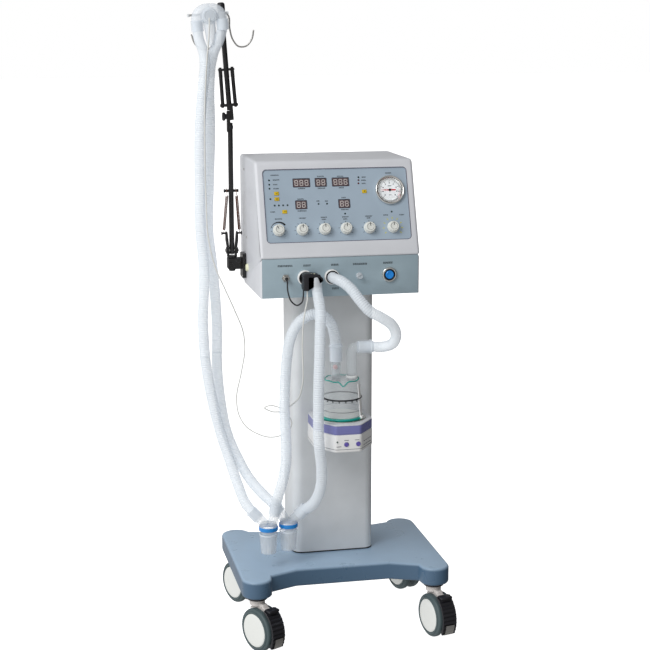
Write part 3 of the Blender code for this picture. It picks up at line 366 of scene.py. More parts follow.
def smooth_route(points, spacing):
    """Points about spacing apart on a smooth curve through the route's own points."""
    route = [Vector(point) for point in points]
    times = [0.0]
    for before, after in zip(route, route[1:]):
        times.append(times[-1] + (after - before).length)
    slopes = []
    for i, point in enumerate(route):
        back, ahead = max(i - 1, 0), min(i + 1, len(route) - 1)
        behind = (point - route[back]) / (times[i] - times[back]) if i > back else None
        onward = (route[ahead] - point) / (times[ahead] - times[i]) if ahead > i else None
        if behind is None or onward is None:
            slopes.append(onward or behind)
        else:
            share = (times[ahead] - times[i]) / (times[ahead] - times[back])
            slopes.append(behind * share + onward * (1 - share))
    count = max(round(times[-1] / spacing), 2)
    samples = []
    i = 0
    for step in range(count + 1):
        time = times[-1] * step / count
        while i < len(route) - 2 and times[i + 1] < time - 1e-9:
            i += 1
        span = times[i + 1] - times[i]
        u = (time - times[i]) / span
        samples.append(
            route[i] * (2 * u**3 - 3 * u**2 + 1)
            + slopes[i] * (span * (u**3 - 2 * u**2 + u))
            + route[i + 1] * (3 * u**2 - 2 * u**3)
            + slopes[i + 1] * (span * (u**3 - u**2))
        )
    return samples


# ---------------------------------------------------------------- materials


def tone(red, green, blue):
    """A colour given as three numbers up to 255, in the shader's own linear values."""
    values = []
    for channel in (red, green, blue):
        share = channel / 255
        values.append(share / 12.92 if share <= 0.04045 else ((share + 0.055) / 1.055) ** 2.4)
    return tuple(values)


def add_node(tree, kind, **sockets):
    made = tree.nodes.new(kind)
    for socket, value in sockets.items():
        made.inputs[socket.replace("_", " ")].default_value = value
    return made


GRAIN_DEPTH = 0.00004
RAMP_LOW, RAMP_HIGH = 0.3, 0.7  # the part of the cloud noise that shows
GLOSS_SPREAD = 0.15


def surface(name, colour, roughness, metallic=0.0, spread=0.05, cloud=22.0, grain=900.0, bump=0.12,
            stretch=(1, 1, 1), sides=None, **sockets):
    """A painted, moulded or plated surface. Its colour and gloss wander a little over a few centimetres,
    and it has a fine grain. sides is painted shade: a colour blended in towards the upright and downward
    faces, by how far each face turns from upward, so that they look less lit than the tops. The other
    sockets are set on the shader itself."""
    made = bpy.data.materials.new(name)
    made.use_nodes = True
    tree, links = made.node_tree, made.node_tree.links
    shader = tree.nodes["Principled BSDF"]
    shader.inputs["Metallic"].default_value = metallic
    for socket, value in sockets.items():
        shader.inputs[socket.replace("_", " ")].default_value = value
    place = add_node(tree, "ShaderNodeTexCoord")
    mapping = add_node(tree, "ShaderNodeMapping", Scale=stretch)
    links.new(place.outputs["Object"], mapping.inputs["Vector"])

    clouds = add_node(tree, "ShaderNodeTexNoise", Scale=cloud, Detail=4.0)
    links.new(mapping.outputs["Vector"], clouds.inputs["Vector"])
    ramp = add_node(tree, "ShaderNodeValToRGB")
    ramp.color_ramp.elements[0].position = RAMP_LOW
    ramp.color_ramp.elements[1].position = RAMP_HIGH
    ramp.color_ramp.elements[0].color = (*[value * (1 - spread) for value in colour], 1)
    ramp.color_ramp.elements[1].color = (*[min(value * (1 + spread), 1) for value in colour], 1)
    links.new(clouds.outputs["Fac"], ramp.inputs["Fac"])
    links.new(ramp.outputs["Color"], shader.inputs["Base Color"])
    # painted shade: faces turned from upward blend to the sides colour, by the height of their true normal
    if sides:
        split = add_node(tree, "ShaderNodeSeparateXYZ")
        facing = add_node(tree, "ShaderNodeNewGeometry")
        links.new(facing.outputs["True Normal"], split.inputs["Vector"])
        choice = add_node(tree, "ShaderNodeMix")
        choice.data_type = "RGBA"
        choice.inputs["A"].default_value = (*sides, 1)
        links.new(split.outputs["Z"], choice.inputs["Factor"])
        links.new(ramp.outputs["Color"], choice.inputs["B"])
        links.new(choice.outputs["Result"], shader.inputs["Base Color"])

    dullest = min(roughness * (1 + GLOSS_SPREAD), 1.0)
    gloss = add_node(tree, "ShaderNodeMapRange", From_Min=RAMP_LOW, From_Max=RAMP_HIGH,
                     To_Min=roughness * (1 - GLOSS_SPREAD), To_Max=dullest)
    links.new(clouds.outputs["Fac"], gloss.inputs["Value"])
    links.new(gloss.outputs["Result"], shader.inputs["Roughness"])

    grains = add_node(tree, "ShaderNodeTexNoise", Scale=grain, Detail=2.0)
    links.new(mapping.outputs["Vector"], grains.inputs["Vector"])
    relief = add_node(tree, "ShaderNodeBump", Strength=bump, Distance=GRAIN_DEPTH)
    links.new(grains.outputs["Fac"], relief.inputs["Height"])
    links.new(relief.outputs["Normal"], shader.inputs["Normal"])
    return made


GLASS = {"Transmission_Weight": 1.0, "IOR": 1.1}
PAINTED_GLOW = {"Emission_Color": (0.84, 0.91, 1.0, 1.0), "Emission_Strength": 0.06}  # painted glow, though no lamp: emission that stands in for light let through the milky wall and lifts the shaded sides
LOOKS = {}


def add_look(name, colour, roughness, **settings):
    LOOKS[name] = surface(name, tone(*colour), roughness, **settings)


add_look("shell", (224, 226, 231), 0.40, bump=0.25, grain=1400, spread=0.02)
add_look("panel_film", (171, 188, 203), 0.42, spread=0.03, grain=2200, bump=0.2)
add_look("panel_edge", (86, 84, 108), 0.5)
add_look("front_paint", (166, 186, 196), 0.36, bump=0.3, grain=1100)
# the base's sides colour is painted shade: its upright faces are painted darker than its top
add_look("base_paint_and_side_shade", (172, 198, 222), 0.30, bump=0.1, grain=1100, spread=0.03, sides=tone(80, 109, 136))
add_look("column_paint", (227, 230, 232), 0.34, bump=0.1, grain=1300, spread=0.03)
add_look("black_metal", (30, 29, 30), 0.32, spread=0.2, bump=0.3)
add_look("black_plastic", (32, 32, 38), 0.42, spread=0.15, bump=0.3)
add_look("rubber", (24, 24, 26), 0.7, spread=0.15)
add_look("tyre", (79, 95, 98), 0.5, spread=0.08, grain=600, bump=0.35)
add_look("hub", (242, 244, 240), 0.34, spread=0.01)
add_look("caster_white", (226, 220, 216), 0.34, spread=0.03)
add_look("steel", (196, 194, 190), 0.26, metallic=1.0, grain=500, stretch=(1, 1, 12))
add_look("chrome", (222, 221, 218), 0.12, metallic=1.0, spread=0.02, bump=0.03)
add_look("spring_steel", (126, 92, 80), 0.34, metallic=1.0, spread=0.1)
add_look("white_plastic", (250, 250, 249), 0.32, spread=0.01)
add_look("ivory", (240, 240, 206), 0.35, spread=0.04)
add_look("knob", (236, 238, 232), 0.30, spread=0.02, bump=0.2)
add_look("ink", (50, 58, 74), 0.6, spread=0.1)
add_look("ink_black", (18, 20, 26), 0.6, spread=0.1)
add_look("ink_lime", (206, 204, 84), 0.6, spread=0.1)
add_look("yellow", (225, 190, 22), 0.45)
add_look("window", (92, 76, 80), 0.22, spread=0.1, bump=0.02)
add_look("segment", (222, 214, 210), 0.5)
add_look("lamp_green", (44, 74, 70), 0.2, spread=0.1)
add_look("lamp_red", (128, 48, 48), 0.2, spread=0.1)
add_look("dial", (250, 250, 250), 0.5, spread=0.01)
add_look("red", (214, 28, 44), 0.4)
add_look("blue", (25, 142, 234), 0.28, spread=0.12, cloud=220)
add_look("violet", (108, 94, 182), 0.36)
add_look("lavender", (126, 128, 188), 0.30)
add_look("teal", (0, 166, 153), 0.36)
add_look("trap_blue", (36, 140, 222), 0.20, spread=0.08)
add_look("board", (20, 100, 60), 0.5, spread=0.15)
add_look("pink", (236, 208, 210), 0.3)
add_look("glass", (250, 252, 253), 0.04, spread=0.01, bump=0.02, **GLASS)
add_look("dome", (244, 249, 252), 0.05, spread=0.01, bump=0.0, Alpha=0.17)
add_look("clear", (240, 247, 252), 0.08, spread=0.01, bump=0.02, Alpha=0.24)
add_look("frosted", (242, 248, 253), 0.22, spread=0.01, bump=0.03, Alpha=0.42)
# the hose and cuff looks carry the painted glow: a faint emission in place of light let through their walls
add_look("hose", (243, 249, 255), 0.32, spread=0.01, cloud=12, bump=0.02, Alpha=0.66, **PAINTED_GLOW)
add_look("thin_line", (228, 228, 224), 0.35, spread=0.03)
add_look("jar", (240, 246, 252), 0.16, spread=0.01, bump=0.02, Alpha=0.30)
add_look("cuff", (243, 249, 255), 0.26, spread=0.01, bump=0.03, Alpha=0.50, **PAINTED_GLOW)


def piece(name, shapes, body, replaces=(), sharp=35):
    """One piece made of (mesh, look) shapes, riding on a body. It may stand for CAD nodes."""
    bm = bmesh.new()
    looks = []
    for mesh, look in shapes:
        before = len(bm.faces)
        bm.from_mesh(mesh)
        bm.faces.ensure_lookup_table()
        if look not in looks:
            looks.append(look)
        for face in bm.faces[before:]:
            face.material_index = looks.index(look)
    mesh = bpy.data.meshes.new(name)
    bm.to_mesh(mesh)
    bm.free()
    mesh.shade_smooth()
    mesh.set_sharp_from_angle(angle=math.radians(sharp))
    for look in looks:
        mesh.materials.append(LOOKS[look])
    made = add_object(name, mesh)
    if body:
        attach(made, body)
    if replaces:
        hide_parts(*([replaces] if isinstance(replaces, str) else replaces))
    return made


# ---------------------------------------------------------------- camera, light and floor


CAMERA_LENS, SENSOR_WIDTH = 85.3, 36.0
CAMERA_PLACE = (-0.6795, -3.1335, 1.3051)  # from the trolley's middle
CAMERA_TURN = (math.pi / 2 - 0.1982, 0.0019, -0.2094)
KEY_PLACE, KEY_TARGET = Vector((-2.6, -2.4, 3.4)), Vector((0, 0, 0.7))
KEY_SIZE, KEY_ENERGY = 2.2, 78
SKY_SLOPES = (("X", -0.41), ("Y", -0.03))  # how the sky's light falls off along an axis
SKY_MIDDLE, SKY_LEAST = 0.455, 0.05


def build_stage():
    camera = add_object("camera", bpy.data.cameras.new("camera"))
    camera.data.lens = CAMERA_LENS
    camera.data.sensor_width = SENSOR_WIDTH
    camera.location = at(*CAMERA_PLACE)
    camera.rotation_euler = CAMERA_TURN
    bpy.context.scene.camera = camera
    bpy.context.scene.view_settings.view_transform = "Standard"

    floor = add_object("floor", prism(rounded_rectangle(60, 60, 0.5), -0.02, -0.0006))
    floor.data.materials.append(surface("floor", (0.92, 0.92, 0.92), 0.8, spread=0.01, cloud=2,
                                        Emission_Color=(1, 1, 1, 1), Emission_Strength=1.0))
    floor.visible_diffuse = False
    floor.visible_glossy = False

    lamp = bpy.data.lights.new("key", "AREA")
    lamp.shape = "DISK"
    lamp.size = KEY_SIZE
    lamp.energy = KEY_ENERGY
    holder = add_object("key", lamp)
    holder.location = KEY_PLACE
    holder.rotation_euler = (KEY_TARGET - holder.location).to_track_quat("-Z", "Y").to_euler()
    build_world()


def build_world():
    """A white background, and a soft light that is bright from the left and dim from the right."""
    world = bpy.data.worlds.new("studio")
    bpy.context.scene.world = world
    world.use_nodes = True
    tree, links = world.node_tree, world.node_tree.links
    background = tree.nodes["Background"]
    place = add_node(tree, "ShaderNodeTexCoord")
    split = add_node(tree, "ShaderNodeSeparateXYZ")
    links.new(place.outputs["Generated"], split.inputs["Vector"])
    total = None
    for axis, share in SKY_SLOPES:
        part = add_node(tree, "ShaderNodeMath")
        part.operation = "MULTIPLY_ADD"
        links.new(split.outputs[axis], part.inputs[0])
        part.inputs[1].default_value = share
        if total is None:
            part.inputs[2].default_value = SKY_MIDDLE
        else:
            links.new(total, part.inputs[2])
        total = part.outputs["Value"]
    least = add_node(tree, "ShaderNodeMath")
    least.operation = "MAXIMUM"
    links.new(total, least.inputs[0])
    least.inputs[1].default_value = SKY_LEAST
    seen = add_node(tree, "ShaderNodeLightPath")
    choice = add_node(tree, "ShaderNodeMix")
    links.new(seen.outputs["Is Camera Ray"], choice.inputs["Factor"])
    links.new(least.outputs["Value"], choice.inputs["A"])
    choice.inputs["B"].default_value = 1.0
    links.new(choice.outputs["Result"], background.inputs["Strength"])
    background.inputs["Color"].default_value = (1, 1, 1, 1)


# ---------------------------------------------------------------- cords


def lead(start, end):
    """A hose's first two points, straight out of a port that runs from start to end."""
    way = (Vector(end) - Vector(start)).normalized()
    return [Vector(end) + way * TOUCH, Vector(end) + way * 0.012]


def trap_ports(side):
    """(start, end) of the two ports on a trap's head: one leans left and one leans right."""
    if side == "left":
        return ((-0.006, 0, 0.006), (-0.0230, 0.004, 0.0230)), ((0.0085, 0, 0.004), (0.0130, -0.004, 0.0330))
    return ((-0.004, 0, 0.004), (-0.0200, 0.006, 0.0290)), ((0.006, 0, 0.004), (0.0240, -0.006, 0.0225))


def trap_place(side):
    return joint_place(f"trap_cup_{side}_twist") - MIDDLE


def trap_lead(side, which):
    return lead(*(trap_place(side) + Vector(point) for point in trap_ports(side)[which]))


def y_branch(side):
    """A branch of the Y-piece, about its middle: out from the hub and round a bend to point down."""
    route = [(0.002, 0.0040), (0.012, 0.0075), (0.0200, 0.0060), (0.0250, 0.0005), (0.0262, -0.0060)]
    return [Vector((side * x, 0, z)) for x, z in [*route, (0.0262, -0.0120)]]


def y_lead(side):
    """The same branch's lead, in the trolley's own place."""
    return lead(*(HEAD @ (Y_PIECE + point) - MIDDLE for point in y_branch(side)[-2:]))


HUMIDIFIER = Vector((-0.002, -0.105, 0.0))
OUTLET_PORT_X, STRAIGHT_PORT_TOP = -0.0145, 0.606
INLET_PORT_X, ELBOW_HEIGHT, ELBOW_REACH = 0.0195, 0.634, 0.028


def circuit_routes():
    """Each cord's route from the piece that it comes out of, from the trolley's middle."""
    port = lead((INSPIRATORY_X, CONSOLE_FRONT, PORT_Z), (INSPIRATORY_X, CONSOLE_FRONT - 0.0095, PORT_Z))
    elbow_end = INLET_PORT_X + ELBOW_REACH
    elbow = lead((elbow_end - 0.01, HUMIDIFIER.y, ELBOW_HEIGHT), (elbow_end, HUMIDIFIER.y, ELBOW_HEIGHT))
    straight_end = (OUTLET_PORT_X, HUMIDIFIER.y, STRAIGHT_PORT_TOP)
    straight = lead((OUTLET_PORT_X, HUMIDIFIER.y, 0.570), straight_end)
    expiratory = [
        *lead(*(FLOW_SENSOR + point for point in FLOW_MOUTH)),
        (-0.0540, -0.136, 0.725), (-0.058, -0.154, 0.664), (-0.065, -0.172, 0.543), (-0.064, -0.173, 0.446),
        (-0.057, -0.163, 0.396), (-0.056, -0.150, 0.354), (-0.062, -0.132, 0.321), (-0.071, -0.111, 0.299),
        *reversed(trap_lead("right", 1)),
    ]
    inlet = [
        *port,
        (-0.008, -0.127, 0.777), (0.008, -0.142, 0.764), (0.024, -0.155, 0.742), (0.043, -0.163, 0.720),
        (0.068, -0.163, 0.705), (0.091, -0.156, 0.688), (0.103, -0.145, 0.664), (0.099, -0.130, 0.643),
        (0.082, -0.114, 0.634),
        *reversed(elbow),
    ]
    outlet = [
        *straight,
        (-0.0150, -0.105, 0.641), (-0.018, -0.105, 0.666), (-0.027, -0.102, 0.690), (-0.045, -0.097, 0.704),
        (-0.063, -0.094, 0.704), (-0.082, -0.090, 0.694), (-0.097, -0.086, 0.675), (-0.107, -0.083, 0.648),
        (-0.112, -0.081, 0.618), (-0.117, -0.080, 0.555), (-0.119, -0.084, 0.500), (-0.119, -0.095, 0.452),
        (-0.122, -0.112, 0.400), (-0.131, -0.120, 0.360), (-0.140, -0.115, 0.326),
        *reversed(trap_lead("left", 1)),
    ]
    limb_left = [
        *y_lead(-1),
        (-0.2660, 0.053, 1.258), (-0.2580, 0.048, 1.234), (-0.2555, 0.044, 1.208),
        (-0.261, 0.040, 1.165), (-0.270, 0.034, 1.074), (-0.273, 0.028, 0.972), (-0.274, 0.022, 0.869),
        (-0.269, 0.016, 0.790), (-0.274, 0.006, 0.665), (-0.270, 0.000, 0.586), (-0.259, -0.006, 0.512),
        (-0.244, -0.014, 0.443), (-0.229, -0.030, 0.390), (-0.214, -0.056, 0.337), (-0.202, -0.079, 0.304),
        *reversed(trap_lead("left", 0)),
    ]
    limb_right = [
        *y_lead(1),
        (-0.2225, 0.063, 1.258), (-0.2330, 0.069, 1.234), (-0.2400, 0.072, 1.208),
        (-0.244, 0.069, 1.164), (-0.245, 0.062, 1.072), (-0.250, 0.056, 0.969), (-0.254, 0.050, 0.864),
        (-0.247, 0.044, 0.785), (-0.241, 0.034, 0.658), (-0.243, 0.028, 0.579), (-0.238, 0.020, 0.504),
        (-0.227, 0.008, 0.437), (-0.208, -0.010, 0.386), (-0.184, -0.036, 0.341), (-0.157, -0.061, 0.311),
        *reversed(trap_lead("right", 0)),
    ]
    sense = [
        (-0.0765, -0.1180, 0.7587), (-0.077, -0.122, 0.741), (-0.085, -0.122, 0.699), (-0.087, -0.118, 0.646),
        (-0.085, -0.105, 0.559), (-0.091, -0.075, 0.520), (-0.113, -0.055, 0.499), (-0.146, -0.050, 0.505),
        (-0.155, -0.048, 0.501), (-0.141, -0.048, 0.492), (-0.112, -0.050, 0.488), (-0.097, -0.048, 0.462),
        (-0.118, -0.048, 0.440), (-0.146, -0.046, 0.436), (-0.169, -0.040, 0.443), (-0.192, -0.030, 0.458),
        (-0.206, -0.018, 0.485), (-0.208, -0.010, 0.512), (-0.195, 0.000, 0.570), (-0.187, 0.004, 0.616),
        (-0.189, 0.006, 0.650), (-0.207, 0.006, 0.700), (-0.225, 0.004, 0.742), (-0.248, -0.002, 0.796),
        (-0.261, 0.002, 0.860), (-0.263, 0.008, 0.932), (-0.263, 0.014, 1.034), (-0.260, 0.020, 1.136),
        (-0.254, 0.026, 1.216), (-0.248, 0.034, 1.266), (-0.246, 0.0380, 1.290), (-0.2455, 0.0412, 1.301),
    ]
    cable = [
        (SENSOR_SOCKET_X, CONSOLE_FRONT - 0.0120 - TOUCH, PORT_Z), (SENSOR_SOCKET_X, -0.1060, PORT_Z),
        (-0.115, -0.113, 0.755), (-0.108, -0.114, 0.736), (-0.096, -0.113, 0.728), (-0.086, -0.111, 0.734),
        (-0.0825, -0.1085, 0.748), (-0.0825, -0.1085, 0.7587),
    ]
    return {
        "hose_expiratory": expiratory,
        "hose_humidifier_inlet": inlet,
        "hose_humidifier_outlet": outlet,
        "patient_limb_left": limb_left,
        "patient_limb_right": limb_right,
        "sense_line": sense,
        "sensor_cable": cable,
    }


# Bodies below and above each joint that a climbing cord crosses, and the heights between which it passes from
# one to the other. Only the heights are read: they cut the cord into pieces.
BENDS = (
    ("trolley", "arm_swivel", 0.289, 0.594),
    ("arm_swivel", "lower_arm", 0.599, 0.984),
    ("lower_arm", "upper_arm", 0.989, 1.129),
    ("upper_arm", "hook_head", 1.134, 1.269),
)
STEPS = 6  # rings for each corrugation


def centre_line(route, spacing):
    """The cord's line: a short straight lead at each end and a smooth curve between them."""
    points = [MIDDLE + Vector(point) for point in route]
    return [points[0], *smooth_route(points[1:-1], spacing), points[-1]]


def corrugated_radii(count, plain_end=3):
    """Ridges round the hose. The ends stay plain where the cuffs grip them, the far one for plain_end
    corrugations."""
    radii = []
    for i in range(count):
        dip = 0.5 - 0.5 * math.cos(2 * math.pi * i / STEPS)
        if i < 3 * STEPS or i > count - plain_end * STEPS:
            dip = 1.0
        radii.append(HOSE_RADIUS - 0.0008 * dip)
    return radii


def cord_tube(name, points, radii, look, sides, body=None, replaces=()):
    return piece(name, [(tube(points, radii, sides), look)], body, replaces, sharp=60)


def climbing_cord(name, points, radii, look, sides):
    """A cord from the trolley up the arm: one piece for each joint that it crosses, from the bottom up."""
    start = 0
    for number, (lower, upper, low, high) in enumerate(BENDS, 1):
        end = len(points) - 1
        if number < len(BENDS):
            split_height = (high + BENDS[number][2]) / 2
            end = max(i for i, point in enumerate(points) if point.z < split_height)
            end -= end % STEPS if sides > 12 else 0
        run, run_radii = points[start:end + 1], radii[start:end + 1]
        replaces = (name,) if number == 1 else ()
        made = cord_tube(f"{name}_{number}", run, run_radii, look, sides, None, replaces)
        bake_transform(made)
        start = end


def cuff(name, end, way, body, length=0.026, flange=True, back=0.012):
    """A soft sleeve over a port's end and a hose's end, with a flange at the hose's side."""
    outer = HOSE_RADIUS + 0.0014
    profile = [(HOSE_RADIUS - 0.0009, -back), (outer - 0.0006, -back), (outer, -back + 0.0008)]
    if flange:
        top = length - back
        profile += [(outer, top - 0.0060), (outer + 0.0022, top - 0.0052), (outer + 0.0022, top - 0.0036)]
        profile += [(outer, top - 0.0028)]
    profile += [(outer - 0.0002, length - back), (HOSE_RADIUS - 0.0009, length - back)]
    place = Matrix.Translation(end) @ Vector(way).to_track_quat("Z", "Y").to_matrix().to_4x4()
    shape = moved(turned(profile, 40, closed=True), place)
    return piece(name, [(shape, "cuff")], body)


def build_cords(y_piece):
    routes = circuit_routes()
    spacing = PITCH / STEPS
    for name in ("hose_expiratory", "hose_humidifier_inlet", "hose_humidifier_outlet"):
        points = centre_line(routes[name], spacing)
        radii = corrugated_radii(len(points))
        made = cord_tube(f"{name}_tube", points, radii, "hose", 24, "trolley", (name,))
    for side in ("left", "right"):
        name = f"patient_limb_{side}"
        points = centre_line(routes[name], spacing)[::-1]
        radii = corrugated_radii(len(points), plain_end=15)
        climbing_cord(name, points, radii, "hose", 24)

    cable = centre_line(routes["sensor_cable"], 0.003)
    made = cord_tube("sensor_cable_tube", cable, THIN_RADIUS, "black_plastic", 12, "trolley",
                     ("sensor_cable",))

    line = centre_line(routes["sense_line"], 0.004)
    turning = min(range(len(line)), key=lambda i: (line[i] - at(-0.206, -0.018, 0.485)).length)
    loop = line[:turning + 1]
    made = cord_tube("sense_line_loop", loop, THIN_RADIUS, "thin_line", 12, "trolley")
    rise = line[turning:]
    climbing_cord("sense_line", rise, [THIN_RADIUS] * len(rise), "thin_line", 12)


def build_cuffs():
    routes = circuit_routes()
    ends = (  # name, cord, which end, body, length, flange, reach over the port
        ("cuff_inlet_chamber", "hose_humidifier_inlet", -1, "trolley", 0.032, True, 0.016),
        ("cuff_outlet_chamber", "hose_humidifier_outlet", 0, "trolley", 0.036, True, 0.000),
        ("cuff_outlet_trap", "hose_humidifier_outlet", -1, "trolley", 0.024, False, 0.006),
        ("cuff_expiratory_trap", "hose_expiratory", -1, "trolley", 0.024, False, 0.006),
        ("cuff_limb_left_trap", "patient_limb_left", -1, "trolley", 0.024, False, 0.006),
        ("cuff_limb_right_trap", "patient_limb_right", -1, "trolley", 0.024, False, 0.006),
        ("cuff_limb_left_y", "patient_limb_left", 0, "hook_head", 0.022, False, 0.004),
        ("cuff_limb_right_y", "patient_limb_right", 0, "hook_head", 0.022, False, 0.004),
    )
    for name, cord, end, body, length, flange, back in ends:
        points = [MIDDLE + Vector(point) for point in routes[cord]]
        tip, after = (points[0], points[1]) if end == 0 else (points[-1], points[-2])
        cuff(name, tip, after - tip, body, length, flange, back)


# ---------------------------------------------------------------- control panel

INK = 0.00012  # how far a printed mark stands off its surface
KNOB_SCALE, GAUGE_SCALE = 1.06, 1.1  # how much wider both are than their profiles below
FIRST_KNOB_TURN = -35  # degrees


def mark(x, s, width, height, look="ink", turn=0.0):
    """A flat printed bar on the control panel."""
    shape = block((width, 2 * INK, height))
    place = Matrix.Translation((x, PANEL_RECESS, s)) @ Matrix.Rotation(turn, 4, "Y")
    return moved(shape, place), look


def caption(x, s, width, look="ink_black", tall=0.0025):
    """Two close rows of short plain bars where a label stands. They aren't letters."""
    chance = random.Random(round(1000 * (x + 2 * s)))
    marks = []
    for row in (-1, 1):
        start = x - width / 2
        while start < x + width / 2 - 0.0008:
            bar = min(chance.choice((0.0012, 0.0018, 0.0026)), x + width / 2 - start)
            marks.append(mark(start + bar / 2, s + row * tall * 0.27, bar, tall * 0.40, look))
            start += bar + 0.0008
    return marks


CAPTIONS = (  # x, s, width
    (-0.1262, 0.1742, 0.017), (-0.1242, 0.1642, 0.013), (-0.1261, 0.1546, 0.009), (-0.1246, 0.1461, 0.012),
    (-0.0717, 0.1449, 0.016), (-0.0310, 0.1696, 0.014), (-0.0302, 0.1446, 0.016), (0.0104, 0.1688, 0.013),
    (0.0112, 0.1447, 0.010), (-0.0753, 0.1230, 0.014), (0.0146, 0.1236, 0.009), (-0.0747, 0.0981, 0.018),
    (0.0154, 0.0986, 0.016), (-0.0395, 0.1179, 0.007), (-0.0216, 0.1175, 0.007), (-0.1352, 0.0975, 0.010),
    (-0.1243, 0.0826, 0.015), (-0.0745, 0.0829, 0.015), (-0.0299, 0.0834, 0.013), (-0.0302, 0.0791, 0.009),
    (0.0151, 0.0831, 0.013), (0.0147, 0.0785, 0.008), (0.0644, 0.0832, 0.015), (0.0641, 0.0794, 0.008),
    (0.1008, 0.0844, 0.010), (0.1349, 0.0841, 0.010), (0.1131, 0.1735, 0.013), (0.0603, 0.1659, 0.008),
    (0.0598, 0.1594, 0.010), (0.0593, 0.1526, 0.008),
)


def knob_scale(number, x):
    """The printed scale round a knob: a black wedge, plain ticks or yellow-green ticks."""
    marks = []
    if number == 1:
        points = arc((0, 0), 0.0160, 165, 37, 12)
        for step in range(12, -1, -1):
            angle = math.radians(165 - 128 * step / 12)
            reach = 0.0165 + 0.0034 * step / 12
            points.append((reach * math.cos(angle), reach * math.sin(angle)))
        wedge = prism([(x + u, KNOB_ROW + v) for u, v in points], PANEL_RECESS - INK, PANEL_RECESS + INK, "Y")
        marks.append((wedge, "ink_black"))
    count = 9 if number in (1, 2, 6) else 7
    look = "ink_lime" if number == 6 else "ink"
    for step in range(count):
        angle = math.radians(215 - 250 * step / (count - 1))
        reach = 0.0196 if number == 6 else 0.0148
        u, v = reach * math.cos(angle), reach * math.sin(angle)
        width, thick = (0.0040, 0.0018) if number == 6 else (0.0023, 0.0011)
        if number == 1 and step in (3, 4, 5):
            continue
        marks.append(mark(x + u, KNOB_ROW + v, width, thick, look, -angle))
    return marks


def lamp(x, s, look):
    """A small domed lamp in a dark ring."""
    place = (x, PANEL_RECESS, s)
    dome = turned([(0.0, -0.0011), (0.0008, -0.0009), (0.0013, -0.0003), (0.0014, 0.0008)], 20, "Y", place)
    rim = ring(0.0013, 0.0019, -0.0003, 0.0004, segments=20, axis="Y", centre=place)
    return [(dome, look), (rim, "ink_black")]


def build_control_panel():
    back = PANEL_RECESS + PANEL_THICK
    outline = rounded_rectangle(PANEL_WIDTH - 2 * TOUCH, PANEL_HEIGHT - 2 * TOUCH, PANEL_CORNER)
    plate = prism([(u, v + PANEL_MIDDLE) for u, v in outline], PANEL_RECESS, back, "Y")
    holes = []
    for x in KNOBS_X:
        holes.append(turned([(0.0038, -0.01), (0.0038, 0.01)], 20, "Y", (x, PANEL_RECESS, KNOB_ROW)))
    holes.append(turned([(0.0268, -0.01), (0.0268, 0.01)], 48, "Y", (GAUGE[0], PANEL_RECESS, GAUGE[1])))
    windows = [display[:3] for display in DISPLAYS]
    for x, s, width in windows:
        window = rounded_rectangle(width, DISPLAY_HEIGHT, 0.0012, (x, s))
        holes.append(prism(window, PANEL_RECESS - 0.01, PANEL_RECESS + 0.01, "Y"))
    holes += [block((0.0100, 0.02, 0.0078), (x, PANEL_RECESS, s)) for x, s in KEYS]
    shapes = [(combined(plate, cut=[several(holes)]), "panel_film")]

    for x, s, width in windows:
        frame_shape = prism(rounded_rectangle(width + 0.0016, DISPLAY_HEIGHT + 0.0016, 0.0020, (x, s)),
                            PANEL_RECESS - INK, PANEL_RECESS + INK, "Y")
        hole = prism(rounded_rectangle(width, DISPLAY_HEIGHT, 0.0012, (x, s)), -0.01, 0.01, "Y")
        shapes.append((combined(frame_shape, cut=[hole]), "ink"))
    for x, s, width in CAPTIONS:
        shapes += caption(x, s, width)
    for number, x in enumerate(KNOBS_X, 1):
        shapes += knob_scale(number, x)
    for x, s in GREEN_LAMPS:
        shapes += lamp(x, s, "lamp_green")
    for x, s in RED_LAMPS:
        shapes += lamp(x, s, "lamp_red")
    piece("control_panel_film", placed_by(PANEL, shapes), "trolley", "control_panel")


def digit(x, s, width, height):
    """The seven lit bars of one figure, all on: a plain 8."""
    bar = 0.16 * width
    shapes = []
    for level in (-1, 0, 1):
        shapes.append(mark(x, s + level * (height / 2 - bar / 2), width - 1.6 * bar, bar, "segment"))
    for side in (-1, 1):
        for level in (-1, 1):
            place = (x + side * (width / 2 - bar / 2), s + level * (height / 4))
            shapes.append(mark(*place, bar, height / 2 - 1.3 * bar, "segment"))
    return shapes


def build_displays():
    back = PANEL_RECESS + PANEL_THICK
    board = prism(rounded_rectangle(0.135, 0.082, 0.003, (-0.027, 0.132)), back + 0.0112, back + 0.0128, "Y")
    shapes = [(board, "board")]
    for x, s, width, digits in DISPLAYS:
        glass = prism(rounded_rectangle(width - 0.0008, DISPLAY_HEIGHT - 0.0008, 0.0010, (x, s)),
                      PANEL_RECESS + 0.0004, PANEL_RECESS + 0.0164, "Y", bevel=0.0003, segments=2)
        shapes.append((glass, "window"))
        figure_width = 0.0072
        pitch = (width - 0.0030) / digits
        for number in range(digits):
            middle = x + (number - (digits - 1) / 2) * pitch
            for mesh, look in digit(middle, s, figure_width, 0.0118):
                shapes.append((moved(mesh, (0, 0.0004, 0)), look))
    piece("display_windows", placed_by(PANEL, shapes), "trolley", "display_board")


